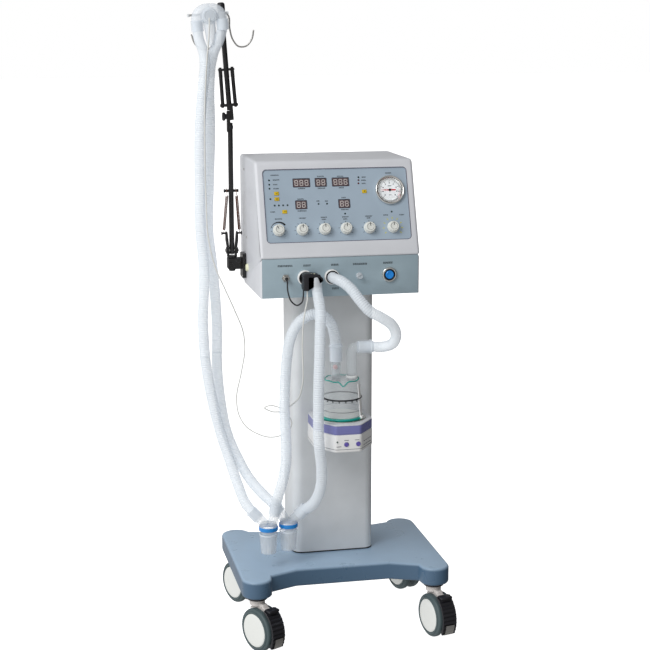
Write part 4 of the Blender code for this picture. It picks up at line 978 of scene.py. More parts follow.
def build_knobs():
    def flutes(angle, height):
        if height > -0.0040 or height < -0.0128:
            return 1.0
        return 1.0 - 0.045 * (0.5 + 0.5 * math.cos(14 * angle)) ** 2

    enlarged = Matrix.Diagonal((KNOB_SCALE, 1, KNOB_SCALE, 1))
    for number, x in enumerate(KNOBS_X, 1):
        profile = [(0, 0.022), (0.0030, 0.022), (0.0030, -0.0008), (0.0113, -0.0008), (0.0115, -0.0012)]
        profile += [(0.0115, -0.0034), (0.0108, -0.0042), (0.0106, -0.0048), (0.0104, -0.0085)]
        profile += [(0.0102, -0.0115), (0.0096, -0.0128), (0.0086, -0.0134), (0.0060, -0.0131), (0, -0.0130)]
        body = turned(profile, 84, "Y", wave=flutes)
        pointer = block((0.0011, 0.0016, 0.0072), (0, -0.0130, 0.0052), 0.0003, 1)
        skirt_line = block((0.0010, 0.0024, 0.0014), (0, -0.0028, 0.0109), 0.0003, 1)
        cap = ring(0.0062, 0.0066, -0.0134, -0.0129, segments=48, axis="Y")
        turn = spin(FIRST_KNOB_TURN if number == 1 else 0, "Y")
        place = PANEL @ Matrix.Translation((x, PANEL_RECESS, KNOB_ROW)) @ turn @ enlarged
        shapes = [(body, "knob"), (pointer, "ink_black"), (skirt_line, "ink_black"), (cap, "ink")]
        piece(f"knob_{number}_cap", placed_by(place, shapes), f"knob_{number}",
              f"knob_{number}")


def build_keys():
    for number, (x, s) in enumerate(KEYS, 1):
        cap = block((0.0094, 0.0070, 0.0072), (0, 0.0022, 0), 0.0007, 3)
        flange = block((0.0114, 0.0015, 0.0092), (0, PANEL_THICK + 0.00125, 0), 0.0003, 1)
        sign = block((0.0040, 0.0003, 0.0007), (0, -0.00135, 0))
        stroke = block((0.0007, 0.0003, 0.0034), (0, -0.00135, 0))
        place = PANEL @ Matrix.Translation((x, PANEL_RECESS, s))
        shapes = [(cap, "yellow"), (flange, "yellow"), (sign, "ink_black")]
        if number in (2, 4):
            shapes.append((stroke, "ink_black"))
        piece(f"key_{number}_cap", placed_by(place, shapes), f"key_{number}", f"key_{number}")


def build_gauge():
    enlarged = Matrix.Diagonal((GAUGE_SCALE, 1, GAUGE_SCALE, 1))
    place = PANEL @ Matrix.Translation((GAUGE[0], PANEL_RECESS, GAUGE[1])) @ enlarged
    profile = [(0.0, 0.032), (0.0238, 0.032), (0.0240, 0.0300), (0.0240, -0.0003), (0.0278, -0.0003)]
    profile += [(0.0280, -0.0010), (0.0280, -0.0040), (0.0276, -0.0054), (0.0269, -0.0061), (0.0262, -0.0062)]
    profile += [(0.0254, -0.0058), (0.0244, -0.0050), (0.0216, -0.0012), (0.0, -0.0008)]
    shapes = [(turned(profile, 96, "Y"), "chrome")]
    face = turned([(0.0, -0.0008), (0.0, -0.0012), (0.0217, -0.0012), (0.0217, -0.0008)], 96, "Y")
    shapes.append((face, "dial"))
    for step in range(41):
        angle = math.radians(225 - 270 * step / 40)
        long_tick = step % 5 == 0
        reach, length = (0.0180, 0.0042) if long_tick else (0.0190, 0.0022)
        tick = block((length, 0.0002, 0.0007 if long_tick else 0.0004), (reach, -0.0013, 0))
        look = "red" if step > 31 and not long_tick else "ink_black"
        shapes.append((moved(tick, Matrix.Rotation(-angle, 4, "Y")), look))
        if long_tick:
            x, z = 0.0135 * math.cos(angle), 0.0135 * math.sin(angle)
            shapes.append((block((0.0022, 0.0002, 0.0016), (x, -0.0013, z)), "ink"))
    band = ring(0.0204, 0.0209, -0.0014, -0.0012, segments=96, axis="Y")
    shapes.append((band, "ink_black"))
    for width, height, z in ((0.0070, 0.0012, 0.0080), (0.0050, 0.0010, -0.0095)):
        shapes.append((block((width, 0.0002, height), (0, -0.0013, z)), "ink"))
    piece("gauge_dial", placed_by(place, shapes), "trolley", "gauge_case")

    blade = prism([(-0.0185, 0), (-0.0020, -0.0009), (0.0110, -0.0012), (0.0110, 0.0012), (-0.0020, 0.0009)],
                  -0.0026, -0.0018, "Y")
    hub = turned([(0, -0.0034), (0.0018, -0.0034), (0.0024, -0.0030), (0.0024, -0.0016), (0, -0.0016)], 24,
                 "Y")
    piece("gauge_hand", placed_by(place, [(blade, "red"), (hub, "ink_black")]), "gauge_needle",
          "gauge_needle")
    lens = turned([(0, -0.0042), (0.0234, -0.0042), (0.0240, -0.0050), (0.0200, -0.0054), (0, -0.0056)], 64,
                  "Y")
    piece("gauge_glass", [(moved(lens, place), "glass")], "trolley", "gauge_lens")


# ---------------------------------------------------------------- console


FLANK_SCREWS = ((0.082, 0.843), (0.110, 0.985), (0.110, 0.765))  # y, z


def bezel_point(along, inward):
    """(y, z) of a point so far up the sloping bezel, and so far behind its face."""
    foot = PANEL_FOOT - MIDDLE
    point = foot + SLOPE * along + INWARD * inward
    return point.y, point.z


def console_outline():
    """The console's side view, with its corners rounded."""
    head_y = bezel_point(BEZEL_LENGTH, 0)[0]
    foot_y, foot_z = bezel_point(0, 0)
    outline = [
        (CONSOLE_FRONT, CONSOLE_BOTTOM),
        (CONSOLE_FRONT, foot_z - 0.001),
        (foot_y, foot_z),
        (head_y + 0.0022, CONSOLE_TOP),
        (CONSOLE_SEAM - TOUCH, CONSOLE_TOP),
        (CONSOLE_SEAM - TOUCH, CONSOLE_BOTTOM),
    ]
    return round_corners(outline, [0, 0, 0.0034, 0.0120, 0, 0], 8)


def is_side_edge(a, b):
    """Whether an edge of the console runs round one of its flanks, along the front, the slope or the top."""
    on_flank = min(abs(a.x), abs(b.x)) > HALF_WIDTH - 1e-5 and abs(a.x - b.x) < 1e-5
    at_seam = min(a.y, b.y) > CONSOLE_SEAM - 0.001
    at_foot = max(a.z, b.z) < CONSOLE_BOTTOM + 0.001
    return on_flank and not at_seam and not at_foot


def build_console():
    wall = 0.003
    head_y = bezel_point(BEZEL_LENGTH, 0)[0]
    foot_z = bezel_point(0, 0)[1]
    inner = [
        (-0.110, CONSOLE_BOTTOM - 0.01), (-0.110, foot_z - 0.0015),
        bezel_point(-0.0015, wall), bezel_point(BEZEL_LENGTH - 0.002, wall),
        (head_y + 0.012, CONSOLE_TOP - wall), (CONSOLE_SEAM + 0.01, CONSOLE_TOP - wall),
        (CONSOLE_SEAM + 0.01, CONSOLE_BOTTOM - 0.01),
    ]
    shell = rounded_edges(prism(console_outline(), -HALF_WIDTH, HALF_WIDTH, "X"), 0.0066, is_side_edge)
    hollow = prism(inner, wall - HALF_WIDTH, HALF_WIDTH - wall, "X")
    opening = rounded_rectangle(PANEL_WIDTH, PANEL_HEIGHT, PANEL_CORNER + 0.0003)
    window = prism([(u, v + PANEL_MIDDLE) for u, v in opening], -0.02, 0.02, "Y")
    window = moved(window, Matrix.Translation(-MIDDLE) @ PANEL)
    shapes = [(combined(shell, cut=[hollow, window]), "shell")]

    gasket_outer = rounded_rectangle(PANEL_WIDTH + 0.0022, PANEL_HEIGHT + 0.0022, PANEL_CORNER + 0.0012)
    gasket = prism([(u, v + PANEL_MIDDLE) for u, v in gasket_outer], -0.00018, 0.0006, "Y")
    opening = rounded_rectangle(PANEL_WIDTH, PANEL_HEIGHT, PANEL_CORNER)
    opening = prism([(u, v + PANEL_MIDDLE) for u, v in opening], -0.01, 0.01, "Y")
    gasket = moved(combined(gasket, cut=[opening]), Matrix.Translation(-MIDDLE) @ PANEL)
    shapes.append((gasket, "panel_edge"))

    for side in (-1, 1):
        for y, z in FLANK_SCREWS:
            place = Matrix.Translation((side * HALF_WIDTH, y, z)) @ spin(90 * side, "Y")
            shapes.append((moved(screw_head(0.0030), place), "steel"))
    piece("console_shell", placed_by(TROLLEY, shapes), "trolley", "console_cover")

    cap = turned([(0, 0.0052), (0.0052, 0.0050), (0.0070, 0.0040), (0.0082, 0.0016), (0.0082, -0.0020)], 40)
    slot_line = block((0.0090, 0.0010, 0.0006), (0, 0, 0.0052))
    place = Matrix.Translation(at(-HALF_WIDTH, 0.074, 0.779)) @ spin(-90, "Y")
    piece("side_cap", placed_by(place, [(cap, "ivory"), (slot_line, "ink")]), "trolley")
    build_lower_front()
    build_rear_housing()


def screw_head(radius):
    """A small pan-head screw with a cross slot, along +Z."""
    head = turned([(0, 0.0011), (radius * 0.7, 0.0010), (radius, 0.0002), (radius, -0.0010)], 24)
    sizes = ((radius * 1.1, 0.0007, 0.0012), (0.0007, radius * 1.1, 0.0012))
    return combined(head, cut=[several([block(size, (0, 0, 0.0011)) for size in sizes])])


FRONT_HOLES = (  # x, radius
    (SENSOR_SOCKET_X, 0.0053), (EXPIRATORY_X, 0.0123), (INSPIRATORY_X, 0.0123), (NIPPLE_X, 0.0043),
    (START_X, 0.0105),
)
FRONT_CAPTIONS = (  # x, z, width
    (-0.1163, 0.8060, 0.031), (-0.0708, 0.8056, 0.016), (-0.0128, 0.8052, 0.016), (0.0404, 0.8050, 0.031),
    (0.0992, 0.8056, 0.020), (-0.0118, 0.7560, 0.014),
)


def build_lower_front():
    height = 0.0810
    middle = CONSOLE_BOTTOM + height / 2 + TOUCH
    plate = block((2 * (HALF_WIDTH - 0.0033), 0.003, height), (0, CONSOLE_FRONT + 0.0015, middle), 0.0006, 2)
    holes = []
    for x, radius in FRONT_HOLES:
        holes.append(turned([(radius, -0.01), (radius, 0.01)], 40, "Y", (x, CONSOLE_FRONT, PORT_Z)))
    shapes = [(combined(plate, cut=[several(holes)]), "front_paint")]
    for x, z, width in FRONT_CAPTIONS:
        for mesh, look in caption(x, z, width, tall=0.0040):
            shapes.append((moved(mesh, (0, CONSOLE_FRONT - PANEL_RECESS, 0)), look))
    start = (START_X, CONSOLE_FRONT, PORT_Z)
    collar = [(0.0116, 0.0010), (0.0158, 0.0010), (0.0158, -0.0026), (0.0154, -0.0040), (0.0146, -0.0050)]
    collar += [(0.0134, -0.0054), (0.0122, -0.0050), (0.0116, -0.0040)]
    shapes.append((turned(collar, 64, "Y", start, closed=True), "chrome"))
    inner = [(0.0088, 0.0020), (0.0115, 0.0020), (0.0121, -0.0046), (0.0110, -0.0052), (0.0088, -0.0034)]
    shapes.append((turned(inner, 64, "Y", start, closed=True), "black_plastic"))
    piece("lower_front", placed_by(TROLLEY, shapes), "trolley", "lower_front_panel")


def build_rear_housing():
    """The rear cover. Its vents, inlet and screws are what such a machine has; none of them was seen."""
    low, high = CONSOLE_SEAM + 0.0006, CONSOLE_REAR
    height = CONSOLE_TOP - CONSOLE_BOTTOM
    middle = (CONSOLE_TOP + CONSOLE_BOTTOM) / 2
    outline = rounded_rectangle(2 * HALF_WIDTH, height, 0.0062)
    lid = prism(outline, low, high, "Y", bevel=0.0030, segments=4)
    room = block((2 * HALF_WIDTH - 0.008, high - low, height - 0.008), (0, (low + high) / 2 - 0.004, 0))
    slots = []
    for row in range(9):
        slots.append(prism(rounded_rectangle(0.080, 0.0032, 0.0015, (0.085, 0.080 - row * 0.0085)),
                           high - 0.001, high + 0.01, "Y"))
    lid = moved(combined(lid, cut=[room, *slots]), (0, 0, middle))
    shapes = [(lid, "shell")]
    plate = prism(rounded_rectangle(0.060, 0.040, 0.003, (-0.100, 0.795)), high - 0.0005, high + 0.0008, "Y",
                  bevel=0.0003, segments=1)
    shapes.append((plate, "black_plastic"))
    socket = prism(rounded_rectangle(0.026, 0.020, 0.004, (-0.112, 0.795)), high - 0.001, high + 0.0022, "Y",
                   bevel=0.0008)
    hollow = prism(rounded_rectangle(0.021, 0.015, 0.003, (-0.112, 0.795)), high + 0.0010, high + 0.01, "Y")
    shapes.append((combined(socket, cut=[hollow]), "black_plastic"))
    switch = block((0.014, 0.0030, 0.020), (-0.085, high + 0.0014, 0.795), 0.0012)
    shapes.append((switch, "red"))
    flange = turned([(0, -0.001), (0.0190, -0.001), (0.0190, 0.0012), (0.0172, 0.0030), (0.0140, 0.0034),
                     (0.0120, 0.0034), (0.0120, 0.0010), (0, 0.0010)], 48, "Y", (0.0, high, 0.800))
    shapes.append((flange, "white_plastic"))
    for side in (-1, 1):
        for z in (0.755, 0.998):
            head = moved(screw_head(0.0028), spin(-90, "X"))
            shapes.append((moved(head, (side * 0.156, high, z)), "steel"))
    piece("rear_cover", placed_by(TROLLEY, shapes), "trolley", "rear_housing")


def build_ports():
    face = CONSOLE_FRONT
    core = block((0.150, 0.050, 0.045), (-0.020, face + 0.055, PORT_Z), 0.003)
    shapes = [(core, "steel")]
    nipple = [(0, 0.0360), (0.0038, 0.0360), (0.0038, -0.0004), (0.0066, -0.0006), (0.0066, -0.0024)]
    nipple += [(0.0048, -0.0036), (0.0046, -0.0070), (0.0056, -0.0078), (0.0046, -0.0096), (0.0046, -0.0104)]
    nipple += [(0.0056, -0.0112), (0.0042, -0.0145), (0.0030, -0.0145), (0.0028, -0.0070), (0, -0.0070)]
    shapes.append((turned(nipple, 32, "Y", (NIPPLE_X, face, PORT_Z)), "frosted"))
    piece("gas_block", placed_by(TROLLEY, shapes), "trolley", "gas_manifold")

    for name, x in (("expiratory_port", EXPIRATORY_X), ("inspiratory_port", INSPIRATORY_X)):
        centre = (x, face, PORT_Z)
        profile = [(0.0095, 0.0290), (0.0118, 0.0290), (0.0118, -0.0003), (0.0153, -0.0003),
                   (0.0155, -0.0006)]
        profile += [(0.0155, -0.0076), (0.0151, -0.0088), (0.0143, -0.0094), (0.0118, -0.0095),
                    (0.0110, -0.0088)]
        profile += [(0.0100, -0.0020), (0.0095, 0.0000)]
        lining = [(0.0080, 0.0280), (0.0094, 0.0280), (0.0094, -0.0010), (0.0098, -0.0040), (0.0090, -0.0046)]
        lining += [(0.0080, -0.0020)]
        shapes = [(turned(profile, 64, "Y", centre, closed=True), "white_plastic")]
        shapes.append((turned(lining, 48, "Y", centre, closed=True), "rubber"))
        shapes.append((ring(0.0112, 0.0136, -0.0097, -0.0090, segments=64, axis="Y", centre=centre),
                       "rubber"))
        piece(f"{name}_ring", placed_by(TROLLEY, shapes), "trolley", name)

    centre = (SENSOR_SOCKET_X, face, PORT_Z)
    nut = turned([(0.0048, -0.0003), (0.0085, -0.0003), (0.0085, -0.0016), (0.0078, -0.0024),
                  (0.0048, -0.0026)],
                 6, "Y", centre)
    profile = [(0, 0.0200), (0.0048, 0.0200), (0.0048, -0.0026), (0.0046, -0.0030), (0.0046, -0.0072)]
    profile += [(0.0050, -0.0078), (0.0050, -0.0112), (0.0044, -0.0120), (0, -0.0120)]
    ends = [(SENSOR_SOCKET_X + offset, face - 0.0095, PORT_Z) for offset in (-0.0066, 0.0066)]
    pins = rod(*ends, 0.0011, 16, 0.0004)
    shapes = [(nut, "steel"), (turned(profile, 40, "Y", centre), "steel"), (pins, "steel")]
    boot = turned([(0.0016, -0.0165), (0.0026, -0.0160), (0.0034, -0.0124), (0.0036, -0.0118),
                   (0.0016, -0.0118)],
                  24, "Y", centre, closed=True)
    shapes.append((boot, "rubber"))
    piece("sensor_connector", placed_by(TROLLEY, shapes), "trolley", "sensor_socket")

    centre = (START_X, face, PORT_Z)
    profile = [(0, 0.0100), (0.0086, 0.0100), (0.0086, -0.0052), (0.0081, -0.0060), (0.0072, -0.0064)]
    profile += [(0.0044, -0.0058), (0, -0.0055)]
    cap = moved(turned(profile, 64, "Y", centre), TROLLEY)
    piece("start_cap", [(cap, "blue")], "start_button", "start_button")
    build_flow_sensor()


def build_flow_sensor():
    """The sensor over the left port: an arched hood with a leg at its left and a clear mouth for the hose."""
    hood = [(-0.0090, 0.0125), (0.0080, 0.0130), (0.0230, 0.0105), (0.0315, 0.0020), (0.0320, -0.0035)]
    hood += [(0.0290, -0.0030), (0.0250, 0.0030), (0.0020, 0.0050), (0.0020, -0.0220), (-0.0090, -0.0220)]
    hood = round_corners(hood, [0.0035, 0.004, 0.008, 0.004, 0.0006, 0.0006, 0.003, 0.0015, 0.0008, 0.002], 6)
    shapes = [(prism(hood, -0.0265, -0.0002, "Y", bevel=0.0010), "black_plastic")]
    shapes.append((block((0.0270, 0.0090, 0.0230), (0.0160, -0.0048, -0.0040), 0.0020), "black_plastic"))
    shapes.append((rod((0.0160, -0.0158, 0.0045), FLOW_MOUTH[1], 0.0113, 40, 0.0012), "hose"))
    for x in (0.0075, 0.0135):
        dot = turned([(0, 0.0006), (0.0013, 0.0004), (0.0015, -0.0006)], 20)
        shapes.append((moved(dot, (x, -0.0215, 0.0126)), "ivory"))
    piece("flow_sensor_shell", placed_by(Matrix.Translation(MIDDLE + FLOW_SENSOR), shapes), "trolley",
          "flow_sensor")


# ---------------------------------------------------------------- hose arm


BRACKET_MIDDLE = 0.7795  # the height of the plate's middle


def build_bracket():
    plate_x = -HALF_WIDTH - TOUCH
    y, z = ARM_AXIS.y, ARM_AXIS.z
    outline = rounded_rectangle(0.036, 0.053, 0.003, (y, BRACKET_MIDDLE))
    plate = prism(outline, plate_x - 0.008, plate_x, "X", bevel=0.0010)
    clamp = block((0.032, 0.024, 0.024), (plate_x - 0.0225, y, z), 0.0022, 3)
    bore = turned([(0.0052, -0.05), (0.0052, 0.05)], 24, centre=(ARM_AXIS.x, y, z))
    shapes = [(combined(plate, join=[clamp], cut=[bore]), "black_metal")]
    turn = spin(-90, "Y")
    for side in (-1, 1):
        for level in (-0.021, 0.021):
            place = Matrix.Translation((plate_x - 0.008, y + side * 0.012, BRACKET_MIDDLE + level)) @ turn
            shapes.append((moved(screw_head(0.0030), place), "steel"))
    for level in (-1, 1):
        rim = ring(0.0052, 0.0082, 0.0118, 0.0126, 0.0003, 32, centre=(0, 0, 0))
        flip = Matrix.Rotation(0 if level > 0 else math.pi, 4, "X")
        shapes.append((moved(rim, Matrix.Translation((ARM_AXIS.x, y, z)) @ flip), "black_plastic"))
    x = ARM_AXIS.x - 0.003
    clamp_screw = rod((x, y - 0.0122, z), (x, y - 0.0165, z), 0.0036, 6, 0.0006)
    shapes.append((clamp_screw, "black_metal"))
    piece("arm_clamp", placed_by(TROLLEY, shapes), "trolley", "arm_bracket")


def build_yoke():
    drop = joint_place("arm_swivel").z - TILT_Z
    post = turned(
        [(0, drop - 0.0165), (0.0060, drop - 0.0165), (0.0070, drop - 0.0158), (0.0070, drop - 0.0129),
         (0.0046, drop - 0.0129), (0.0046, drop + 0.0129), (0.0098, drop + 0.0129), (0.0105, drop + 0.0134),
         (0.0105, drop + 0.0164), (0.0099, drop + 0.0170), (0, drop + 0.0170)],
        40,
    )
    ears = []
    for side in (-1, 1):
        outline = [(0.0062, -0.013), (0.0105, -0.013), (0.0105, 0.003), (0.0135, 0.022), (0.0135, 0.0405)]
        outline += [(0.0095, 0.0405), (0.0062, 0.008)]
        radii = [0, 0, 0.006, 0.006, 0.0015, 0.0015, 0.006]
        outline = round_corners([(side * x, z) for x, z in outline], radii)
        ears.append(prism(outline, -0.006, 0.006, "Y", bevel=0.0008))
    bosses = [rod((side * 0.0062, 0, 0), (side * 0.0128, 0, 0), 0.0072, 32, 0.0010) for side in (-1, 1)]
    shapes = [(combined(post, join=ears), "black_metal")]
    shapes += [(mesh, "black_metal") for mesh in bosses]
    shapes.append((rod((-0.0148, 0, 0), (0.0148, 0, 0), 0.0032, 24, 0.0006), "steel"))
    for side in (-1, 1):
        pin = rod((side * 0.0120, 0, 0.0370), (side * 0.0215, 0, 0.0370), 0.0022, 20, 0.0005)
        collar = rod((side * 0.0200, 0, 0.0370), (side * 0.0222, 0, 0.0370), 0.0040, 24, 0.0006)
        shapes += [(pin, "black_metal"), (collar, "black_plastic")]
    piece("arm_fork", placed_by(ARM, shapes), "arm_swivel", "arm_yoke")


SPRING_TOP = 0.128  # the springs' bar above the tilt axis


def build_lower_arm():
    elbow = ELBOW.z - TILT_Z
    bar = rod((-0.0150, 0, SPRING_TOP), (0.0150, 0, SPRING_TOP), 0.0030, 24, 0.0006)
    stem = turned([(0, -0.008), (0.0048, -0.008), (ARM_TUBE, -0.0074), (ARM_TUBE, elbow - 0.0136),
                   (0.0048, elbow - 0.013), (0, elbow - 0.013)], 40)
    outline = [(-ARM_TUBE, elbow - 0.032), (ARM_TUBE, elbow - 0.032), (ARM_TUBE, elbow + 0.012)]
    outline += [(-ARM_TUBE, elbow + 0.012)]
    tongue = prism(round_corners(outline, [0, 0, 0.0053, 0.0053]), -0.0070, -0.0002, "X")
    tube_hole = rod((-0.02, 0, 0), (0.02, 0, 0), 0.0034, 24)
    pin_hole = rod((-0.02, 0, elbow), (0.02, 0, elbow), 0.0030, 24)
    arm = combined(stem, join=[bar, tongue], cut=[tube_hole, pin_hole])
    shapes = [(arm, "black_metal")]
    for side in (-1, 1):
        end = rod((side * 0.0138, 0, SPRING_TOP), (side * 0.0158, 0, SPRING_TOP), 0.0042, 24, 0.0007)
        shapes.append((end, "black_plastic"))
    shapes.append((ring(0.0053, 0.0064, elbow - 0.0260, elbow - 0.0190, 0.0005, 40), "black_plastic"))
    piece("arm_tube_lower", placed_by(ARM, shapes), "lower_arm", "lower_arm")


def coil(start, end, radius, wire, turns, hook):
    """A close-wound spring between two points, with a straight hook of wire at each end."""
    start, end = Vector(start), Vector(end)
    way = (end - start).normalized()
    side = way.orthogonal().normalized()
    other = way.cross(side)
    low, high = start + way * hook, end - way * hook
    points = [start, start + way * (hook * 0.7)]
    for step in range(turns * 10 + 1):
        angle = 2 * math.pi * step / 10
        place = low.lerp(high, step / (turns * 10))
        points.append(place + (side * math.cos(angle) + other * math.sin(angle)) * radius)
    points += [end - way * (hook * 0.7), end]
    return tube(points, wire, sides=6)


def build_springs():
    for name, side in (("left", -1), ("right", 1)):
        foot = Vector((side * 0.0170, 0, 0.0385))
        top = Vector((side * 0.0100, -0.0082, SPRING_TOP - 0.0045))
        spring = coil(foot, top, radius=0.0028, wire=0.00072, turns=40, hook=0.006)
        replaces = ("lower_springs",) if side < 0 else ()
        made = piece(f"arm_spring_{name}", [(moved(spring, ARM), "spring_steel")], None, replaces,
                     sharp=80)
        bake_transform(made)
    hanger = []
    for side in (-1, 1):
        loop = [(-0.0082, -0.0050), (-0.0070, 0.0010), (-0.0040, 0.0044), (0.0, 0.0046)]
        loop = [(side * 0.0100, y, SPRING_TOP + above) for y, above in loop]
        hanger.append((tube(smooth_route(loop, 0.001), 0.00075, 10), "spring_steel"))
    piece("arm_spring_hooks", placed_by(ARM, hanger), "lower_arm")


def build_upper_arm():
    reach = (ARM_TOP - ELBOW).length
    low, high = 0.024, 0.098
    stem = turned([(0, 0.013), (0.0048, 0.013), (ARM_TUBE, 0.0136), (ARM_TUBE, reach - 0.0006),
                   (0.0048, reach), (0, reach)], 40)
    outline = [(-ARM_TUBE, -0.008), (ARM_TUBE, -0.008), (ARM_TUBE, 0.026), (-ARM_TUBE, 0.026)]
    tongue = prism(round_corners(outline, [0.0053, 0.0053, 0, 0]), 0.0002, 0.0070, "X")
    pin_hole = rod((-0.02, 0, 0), (0.02, 0, 0), 0.0030, 24)
    shapes = [(combined(stem, join=[tongue], cut=[pin_hole]), "black_metal")]
    for size, level in (((0.038, 0.009, 0.006), low), ((0.034, 0.009, 0.005), high)):
        shapes.append((block(size, (0, 0, level), 0.0012), "black_metal"))
    for side in (-1, 1):
        sleeve = rod((side * 0.0135, 0, low), (side * 0.0125, 0, high), 0.0040, 32)
        shapes.append((sleeve, "black_metal"))
        for level, x in ((low, 0.0140), (high, 0.0126)):
            direction = -1 if level == low else 1
            ends = [(side * x, 0, level + direction * out) for out in (0.0022, 0.0050)]
            nut = rod(*ends, 0.0030, 6, 0.0005)
            shapes.append((nut, "black_plastic"))
    piece("arm_tube_upper", placed_by(UPPER_ARM, shapes), "upper_arm", "upper_arm")


def build_elbow_knob():
    """The elbow's clamp knob, with two wings, on the bolt through both tongues."""
    profile = [(0, 0.0075), (0.0020, 0.0075), (0.0025, 0.0070), (0.0025, -0.0062), (0.0055, -0.0062)]
    profile += [(0.0055, -0.0095), (0.0078, -0.0108), (0.0084, -0.0118), (0.0084, -0.0156), (0.0076, -0.0165)]
    profile += [(0, -0.0165)]

    def grip(angle, height):
        return 1.0 + (0.07 * math.cos(6 * angle) if -0.0160 < height < -0.0110 else 0.0)

    body = turned(profile, 48, "X", wave=grip)
    nut = turned([(0, 0.0068), (0.0038, 0.0068), (0.0042, 0.0064), (0.0042, 0.0056), (0, 0.0056)], 6, "X")
    place = Matrix.Translation(ELBOW)
    piece("elbow_hand_knob", placed_by(place, [(body, "black_plastic"), (nut, "steel")]), "elbow_knob",
          "elbow_knob")


def build_hook_head():
    cap = [(0.0058, -0.0350), (0.0074, -0.0350), (0.0080, -0.0343), (0.0080, 0.0095), (0.0074, 0.0120)]
    cap += [(0.0058, 0.0138), (0.0034, 0.0146), (0, 0.0148), (0, 0.0004), (0.0058, 0.0003)]
    shapes = [(turned(cap, 48), "black_plastic")]
    shapes.append((ring(0.0079, 0.0084, -0.0300, -0.0270, 0.0002), "black_metal"))
    screw = rod((0.0, -0.0078, -0.0190), (0.0, -0.0100, -0.0190), 0.0026, 20, 0.0005)
    shapes.append((screw, "steel"))
    for side in (-1, 1):
        route = [(0, -0.0045), (0.0085, -0.0055), (0.0110, -0.0100), (0.0115, -0.0350), (0.0165, -0.0600)]
        route += [(0.0270, -0.0740), (0.0420, -0.0750), (0.0560, -0.0620), (0.0620, -0.0420)]
        points = smooth_route([(side * (x + 0.004), 0.0070, z - 0.004) for x, z in route], 0.003)
        radii = [0.0017] * (len(points) - 1) + [0.0012]
        shapes.append((tube(points, radii, 16), "steel"))
    bar_x, bar_y, bar_z = Y_PIECE.x, Y_PIECE.y + 0.0170, Y_PIECE.z + 0.0030
    neck = smooth_route([(0, -0.004, -0.020), (-0.010, -0.024, -0.016), (bar_x, bar_y, bar_z)], 0.003)
    shapes.append((tube(neck, 0.0028, 16), "steel"))
    ends = [(bar_x - HOLDER_REACH, bar_y, bar_z), (bar_x + HOLDER_REACH, bar_y, bar_z)]
    shapes.append((rod(*ends, 0.0021, 16), "steel"))
    for end in ends:
        tip = turned([(0, -0.0027), (0.0025, -0.0025), (0.0032, -0.0016), (0.0032, 0.0016), (0.0025, 0.0025),
                      (0, 0.0027)], 24, "X", end)
        shapes.append((tip, "frosted"))
    piece("hook_crown", placed_by(HEAD, shapes), "hook_head", "hook_head")


def build_y_piece():
    """The clear Y that joins both limbs, with the round mouth that a patient's tube goes on."""
    outer = [(0.0090, 0.0140), (0.0118, 0.0134), (0.0125, 0.0120), (0.0125, -0.0105), (0.0117, -0.0115)]
    outer += [(0.0117, -0.0150), (0.0098, -0.0150), (0.0096, -0.0110), (0.0078, -0.0080), (0.0078, 0.0120)]
    shapes = [(turned(outer, 64, "Y", closed=True), "clear")]
    shapes.append((turned([(0, 0.0128), (0.0079, 0.0128), (0.0079, 0.0108), (0, 0.0108)], 48, "Y"),
                   "frosted"))
    for side in (-1, 1):
        arch = [(0, 0, 0.0135), (side * 0.0100, 0, 0.0128), (side * 0.0186, 0, 0.0085),
                (side * 0.0242, 0, 0.0015)]
        shapes.append((tube(smooth_route([*arch, *y_branch(side)[-2:]], 0.002), 0.0112, 40), "cuff"))
    dome = [(0, -0.0150), (0.0130, -0.0140), (0.0168, -0.0100), (0.0178, -0.0030), (0.0170, 0.0040),
            (0, 0.0060)]
    shapes.append((turned(dome, 64, "Y"), "cuff"))
    stem = [(0, 0.006), (0.0125, 0.004), (0.0130, -0.010), (0.0110, -0.030), (0.0090, -0.052),
            (0.0078, -0.060)]
    shapes.append((turned([*stem, (0, -0.060)], 48, centre=(0, 0.003, 0)), "cuff"))
    place = HEAD @ Matrix.Translation(Y_PIECE)
    return piece("patient_y", placed_by(place, shapes), "hook_head", "y_piece")


# ---------------------------------------------------------------- humidifier

HEATER_LOW, HEATER_HIGH = (corner.z - MIDDLE.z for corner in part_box("humidifier_base"))
CHAMBER_LOW, CHAMBER_HIGH = 0.492, 0.570
PORT_OUTER, PORT_BORE = 0.0105, 0.0085
HEATER_KEYS_X = (-0.004, 0.021)
HEATER = TROLLEY @ Matrix.Translation(HUMIDIFIER)


def heater_outline(inset=0.0, front_only=False):
    """The heater from above: a flat front, a slanted facet at each side of it and straight flanks."""
    route = [(-0.062, 0.050), (-0.062, -0.016), (-0.027, -0.064), (0.027, -0.064), (0.062, -0.016)]
    route += [(0.062, 0.050), (0.052, 0.066), (-0.052, 0.066)]
    outline = round_corners(route, [0, 0.014, 0.010, 0.010, 0.014, 0, 0, 0], 6)
    if front_only:
        outline = outline[:-2]
    share = 1 - inset / 0.065
    return [(x * share, y * share) for x, y in outline]


def outer_band(low, high, out, look):
    """A thin band round the heater's front and sides, standing out by so much."""
    front = heater_outline(-out, front_only=True)
    back = heater_outline(0.001, front_only=True)[::-1]
    return prism(front + back, low, high), look


